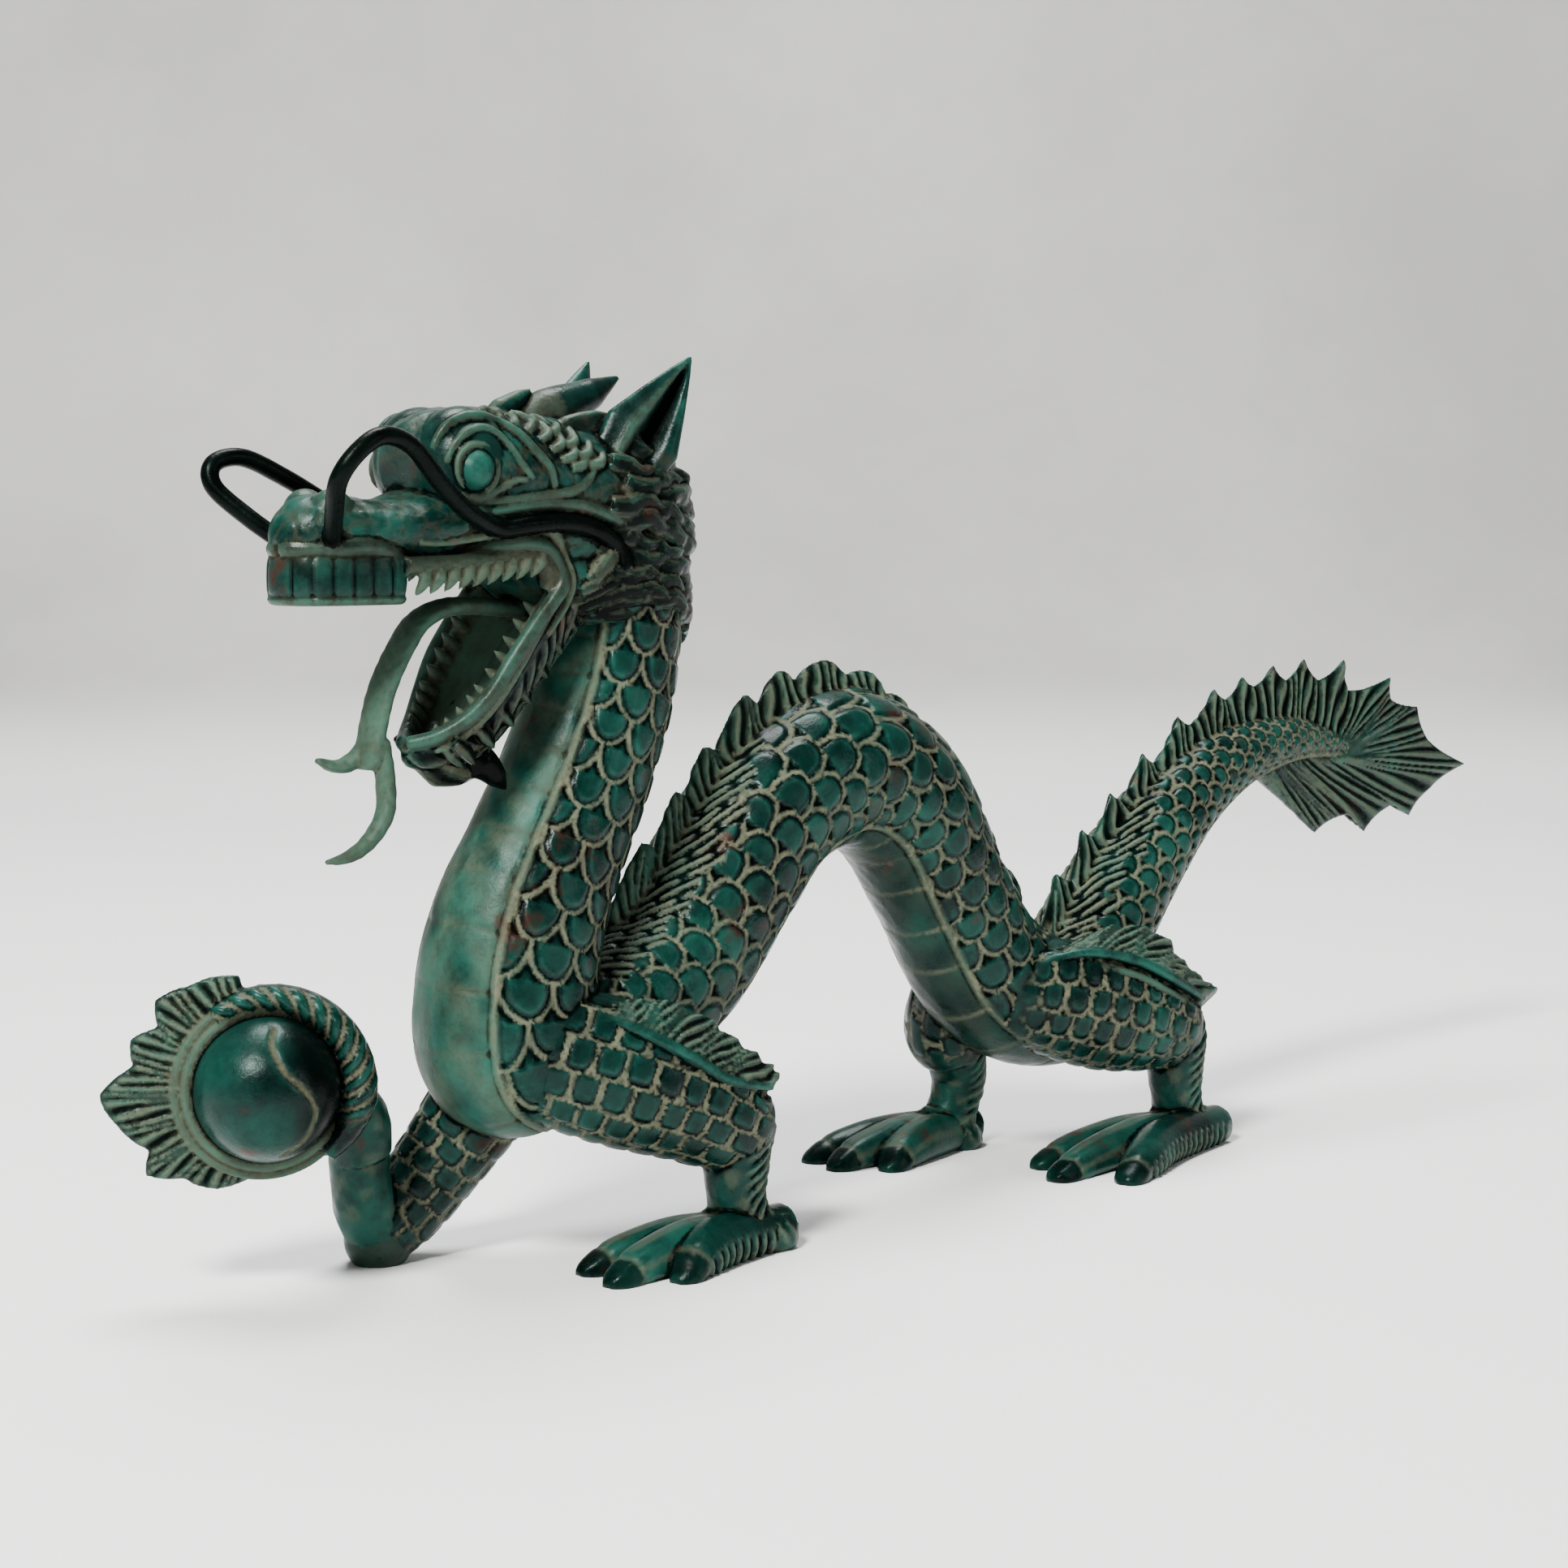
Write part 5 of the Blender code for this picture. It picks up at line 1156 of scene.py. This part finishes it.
class Shader:
    """Short calls for the nodes of one material."""

    def __init__(self, name):
        self.material = bpy.data.materials.new(name)
        self.material.use_nodes = True
        self.tree = self.material.node_tree
        self.out = self.tree.nodes["Principled BSDF"]
        self.place = self.tree.nodes.new("ShaderNodeTexCoord").outputs["Object"]

    def node(self, kind, **inputs):
        made = self.tree.nodes.new(kind)
        for name, value in inputs.items():
            self.set(made.inputs[name.replace("_", " ")], value)
        return made

    def set(self, socket, value):
        if isinstance(value, bpy.types.NodeSocket):
            self.tree.links.new(value, socket)
        else:
            socket.default_value = value

    def attribute(self, name):
        made = self.tree.nodes.new("ShaderNodeAttribute")
        made.attribute_name = name
        return made.outputs["Fac"]

    def noise(self, scale, detail=4.0, roughness=0.6):
        return self.node("ShaderNodeTexNoise", Vector=self.place, Scale=scale, Detail=detail,
                         Roughness=roughness).outputs["Fac"]

    def math(self, operation, first, second):
        made = self.tree.nodes.new("ShaderNodeMath")
        made.operation = operation
        self.set(made.inputs[0], first)
        self.set(made.inputs[1], second)
        return made.outputs[0]

    def times(self, first, second):
        return self.math("MULTIPLY", first, second)

    def span(self, value, low, high, to_low=0.0, to_high=1.0):
        made = self.node("ShaderNodeMapRange", Value=value)
        for name, number in (("From Min", low), ("From Max", high), ("To Min", to_low), ("To Max", to_high)):
            made.inputs[name].default_value = number
        made.interpolation_type = "SMOOTHSTEP"
        return made.outputs[0]

    def mix(self, share, first, second):
        made = self.tree.nodes.new("ShaderNodeMix")
        made.data_type = "RGBA"
        self.set(made.inputs[0], share)
        self.set(made.inputs[6], first)
        self.set(made.inputs[7], second)
        return made.outputs[2]


DEEP_TEAL = (0.0004, 0.0032, 0.0030, 1.0)
VIRIDIAN = (0.0004, 0.0160, 0.0122, 1.0)
VERDIGRIS = (0.012, 0.105, 0.077, 1.0)
TAN_DUST = (0.142, 0.150, 0.096, 1.0)
GREEN_BLACK = (0.0006, 0.0012, 0.0010, 1.0)
RED_BROWN = (0.032, 0.009, 0.006, 1.0)
FLOOR_WHITE = (0.93, 0.94, 0.94, 1.0)
WALL_DARK, WALL_LIGHT = (0.43, 0.43, 0.405, 1.0), (0.56, 0.56, 0.53, 1.0)


def bronze():
    """Dark teal patina, verdigris where it shows wear and as a painted highlight, tan dust on the rims, and
    near-black painted shade in the hollows.
    """
    s = Shader("green_bronze_patina")
    tan, shade, bright = s.attribute("tan"), s.attribute("shade"), s.attribute("bright")
    hollow, broad = s.attribute("hollow"), s.attribute("broad")
    clouds = s.noise(38.0, 5.0)
    mottle = s.noise(160.0, 5.0, 0.65)
    specks = s.noise(900.0, 3.0, 0.7)
    colour = s.mix(s.span(clouds, 0.38, 0.62), DEEP_TEAL, VIRIDIAN)
    # Verdigris where the patina shows wear, and as a painted highlight where the bright paint lies.
    wear_and_highlight = s.math("ADD", s.times(bright, 0.75), s.span(clouds, 0.5, 0.75, 0.0, 0.35))
    wear_and_highlight = s.times(wear_and_highlight, s.span(mottle, 0.30, 0.62, 0.35, 1.0))
    colour = s.mix(wear_and_highlight, colour, VERDIGRIS)
    # Verdigris on raised parts, partly wear and partly a painted highlight.
    raised = s.span(hollow, -0.03, -0.22, 0.0, 0.5)
    colour = s.mix(s.times(raised, s.span(mottle, 0.35, 0.6)), colour, VERDIGRIS)
    brown = s.times(s.span(s.noise(55.0, 4.0), 0.58, 0.68, 0.0, 0.9), s.span(mottle, 0.45, 0.6))
    colour = s.mix(brown, colour, RED_BROWN)
    # Painted shade, near black, in the hollows and creases and where the shade paint lies; that paint is also
    # the own dark colour of the whiskers and claws.
    crease_shade = s.span(hollow, 0.02, 0.12, 0.0, 0.9)
    colour = s.mix(s.math("MAXIMUM", shade, crease_shade), colour, GREEN_BLACK)
    dust = s.times(tan, s.span(specks, 0.25, 0.6, 0.55, 1.0))
    dust = s.times(dust, s.span(shade, 0.2, 0.9, 1.0, 0.0))
    colour = s.mix(s.times(dust, 0.9), colour, TAN_DUST)
    # Painted shade where the surface lies deep below its broad smoothing, as under the cheeks and in the
    # armpits; the bright paint holds it off.
    deep = s.times(s.span(broad, 0.15, 1.2, 0.0, 0.95), s.span(bright, 0.5, 0.95, 1.0, 0.25))
    colour = s.mix(deep, colour, GREEN_BLACK)
    s.set(s.out.inputs["Base Color"], colour)
    s.out.inputs["Metallic"].default_value = 0.15
    sheen = s.span(s.math("MAXIMUM", crease_shade, deep), 0.0, 0.9, 0.14, 0.01)
    s.set(s.out.inputs["Specular IOR Level"], s.times(sheen, s.span(shade, 0.1, 0.9, 1.0, 0.35)))
    rough = s.math("ADD", s.span(dust, 0.0, 0.6, 0.26, 0.72), s.span(mottle, 0.3, 0.7, -0.06, 0.10))
    rough = s.math("ADD", rough, s.times(bright, 0.20))
    s.set(s.out.inputs["Roughness"], rough)
    grain = s.node("ShaderNodeBump", Height=s.math("ADD", s.times(mottle, 0.6), s.times(specks, 0.4)))
    grain.inputs["Strength"].default_value = 0.28
    grain.inputs["Distance"].default_value = 0.0007
    s.set(s.out.inputs["Normal"], grain.outputs["Normal"])
    return s.material


patina = bronze()
for piece in pieces:
    piece.data.materials.clear()
    piece.data.materials.append(patina)
    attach(piece, "root")
    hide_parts("dragon")


def pale_ground():
    s = Shader("pale_ground")
    height = s.tree.nodes.new("ShaderNodeSeparateXYZ")
    s.set(height.inputs[0], s.place)
    wall = s.mix(s.span(s.noise(2.5, 6.0), 0.3, 0.7), WALL_DARK, WALL_LIGHT)
    s.set(s.out.inputs["Base Color"], s.mix(s.span(height.outputs[2], 0.0, 0.06), FLOOR_WHITE, wall))
    s.out.inputs["Roughness"].default_value = 0.85
    return s.material


def make_stage():
    """A floor that curves up into a backdrop, turned towards the camera."""
    half, front, back, bend, high = 2.2, -1.6, 1.3, 0.5, 2.2
    profile = [(front, 0.0), (back - bend, 0.0)]
    for step in range(1, 17):
        angle = math.pi / 2 * step / 16
        profile.append((back - bend + bend * math.sin(angle), bend - bend * math.cos(angle)))
    profile.append((back, high))
    ahead = Vector((math.sin(CAMERA_YAW), math.cos(CAMERA_YAW), 0.0))
    right = Vector((math.cos(CAMERA_YAW), -math.sin(CAMERA_YAW), 0.0))
    verts = []
    for depth, height in profile:
        for side in (-half, half):
            verts.append(ahead * depth + right * side + Vector((0.0, 0.0, height)))
    faces = [(2 * i, 2 * i + 1, 2 * i + 3, 2 * i + 2) for i in range(len(profile) - 1)]
    mesh = bpy.data.meshes.new("backdrop")
    mesh.from_pydata(verts, [], faces)
    mesh.polygons.foreach_set("use_smooth", [True] * len(mesh.polygons))
    mesh.materials.append(pale_ground())
    floor = placed("backdrop", mesh)


CAMERA_PLACE = (-0.5258, -0.5003, 0.1632)
CAMERA_YAW = math.radians(43.0)
CAMERA_PITCH = math.radians(5.5)
LENS = 70.8

camera = placed("camera", bpy.data.cameras.new("camera"))
camera.location = CAMERA_PLACE
camera.rotation_euler = (math.pi / 2 - CAMERA_PITCH, 0.0, -CAMERA_YAW)
camera.data.lens = LENS
camera.data.sensor_width = 36.0
camera.data.clip_start = 0.01
bpy.context.scene.camera = camera
make_stage()


def soft_light(name, place, target, size, power, colour=(1.0, 1.0, 1.0)):
    light = bpy.data.lights.new(name, "AREA")
    light.shape = "DISK"
    light.size = size
    light.energy = power
    light.color = colour
    made = placed(name, light)
    made.location = place
    made.rotation_euler = (Vector(target) - Vector(place)).to_track_quat("-Z", "Y").to_euler()


soft_light("key", (-1.05, -0.40, 1.05), (0.0, 0.0, 0.08), 0.32, 44.0, (1.0, 0.98, 0.95))
soft_light("top", (0.15, 0.35, 1.4), (0.0, 0.0, 0.05), 0.8, 32.0)
soft_light("fill", (0.5, -1.3, 0.5), (0.0, 0.0, 0.1), 0.5, 2.5, (0.94, 0.97, 1.0))
world = bpy.data.worlds.new("world")
world.use_nodes = True
world.node_tree.nodes["Background"].inputs["Color"].default_value = (0.93, 0.94, 0.95, 1.0)
world.node_tree.nodes["Background"].inputs["Strength"].default_value = 0.18
bpy.context.scene.world = world
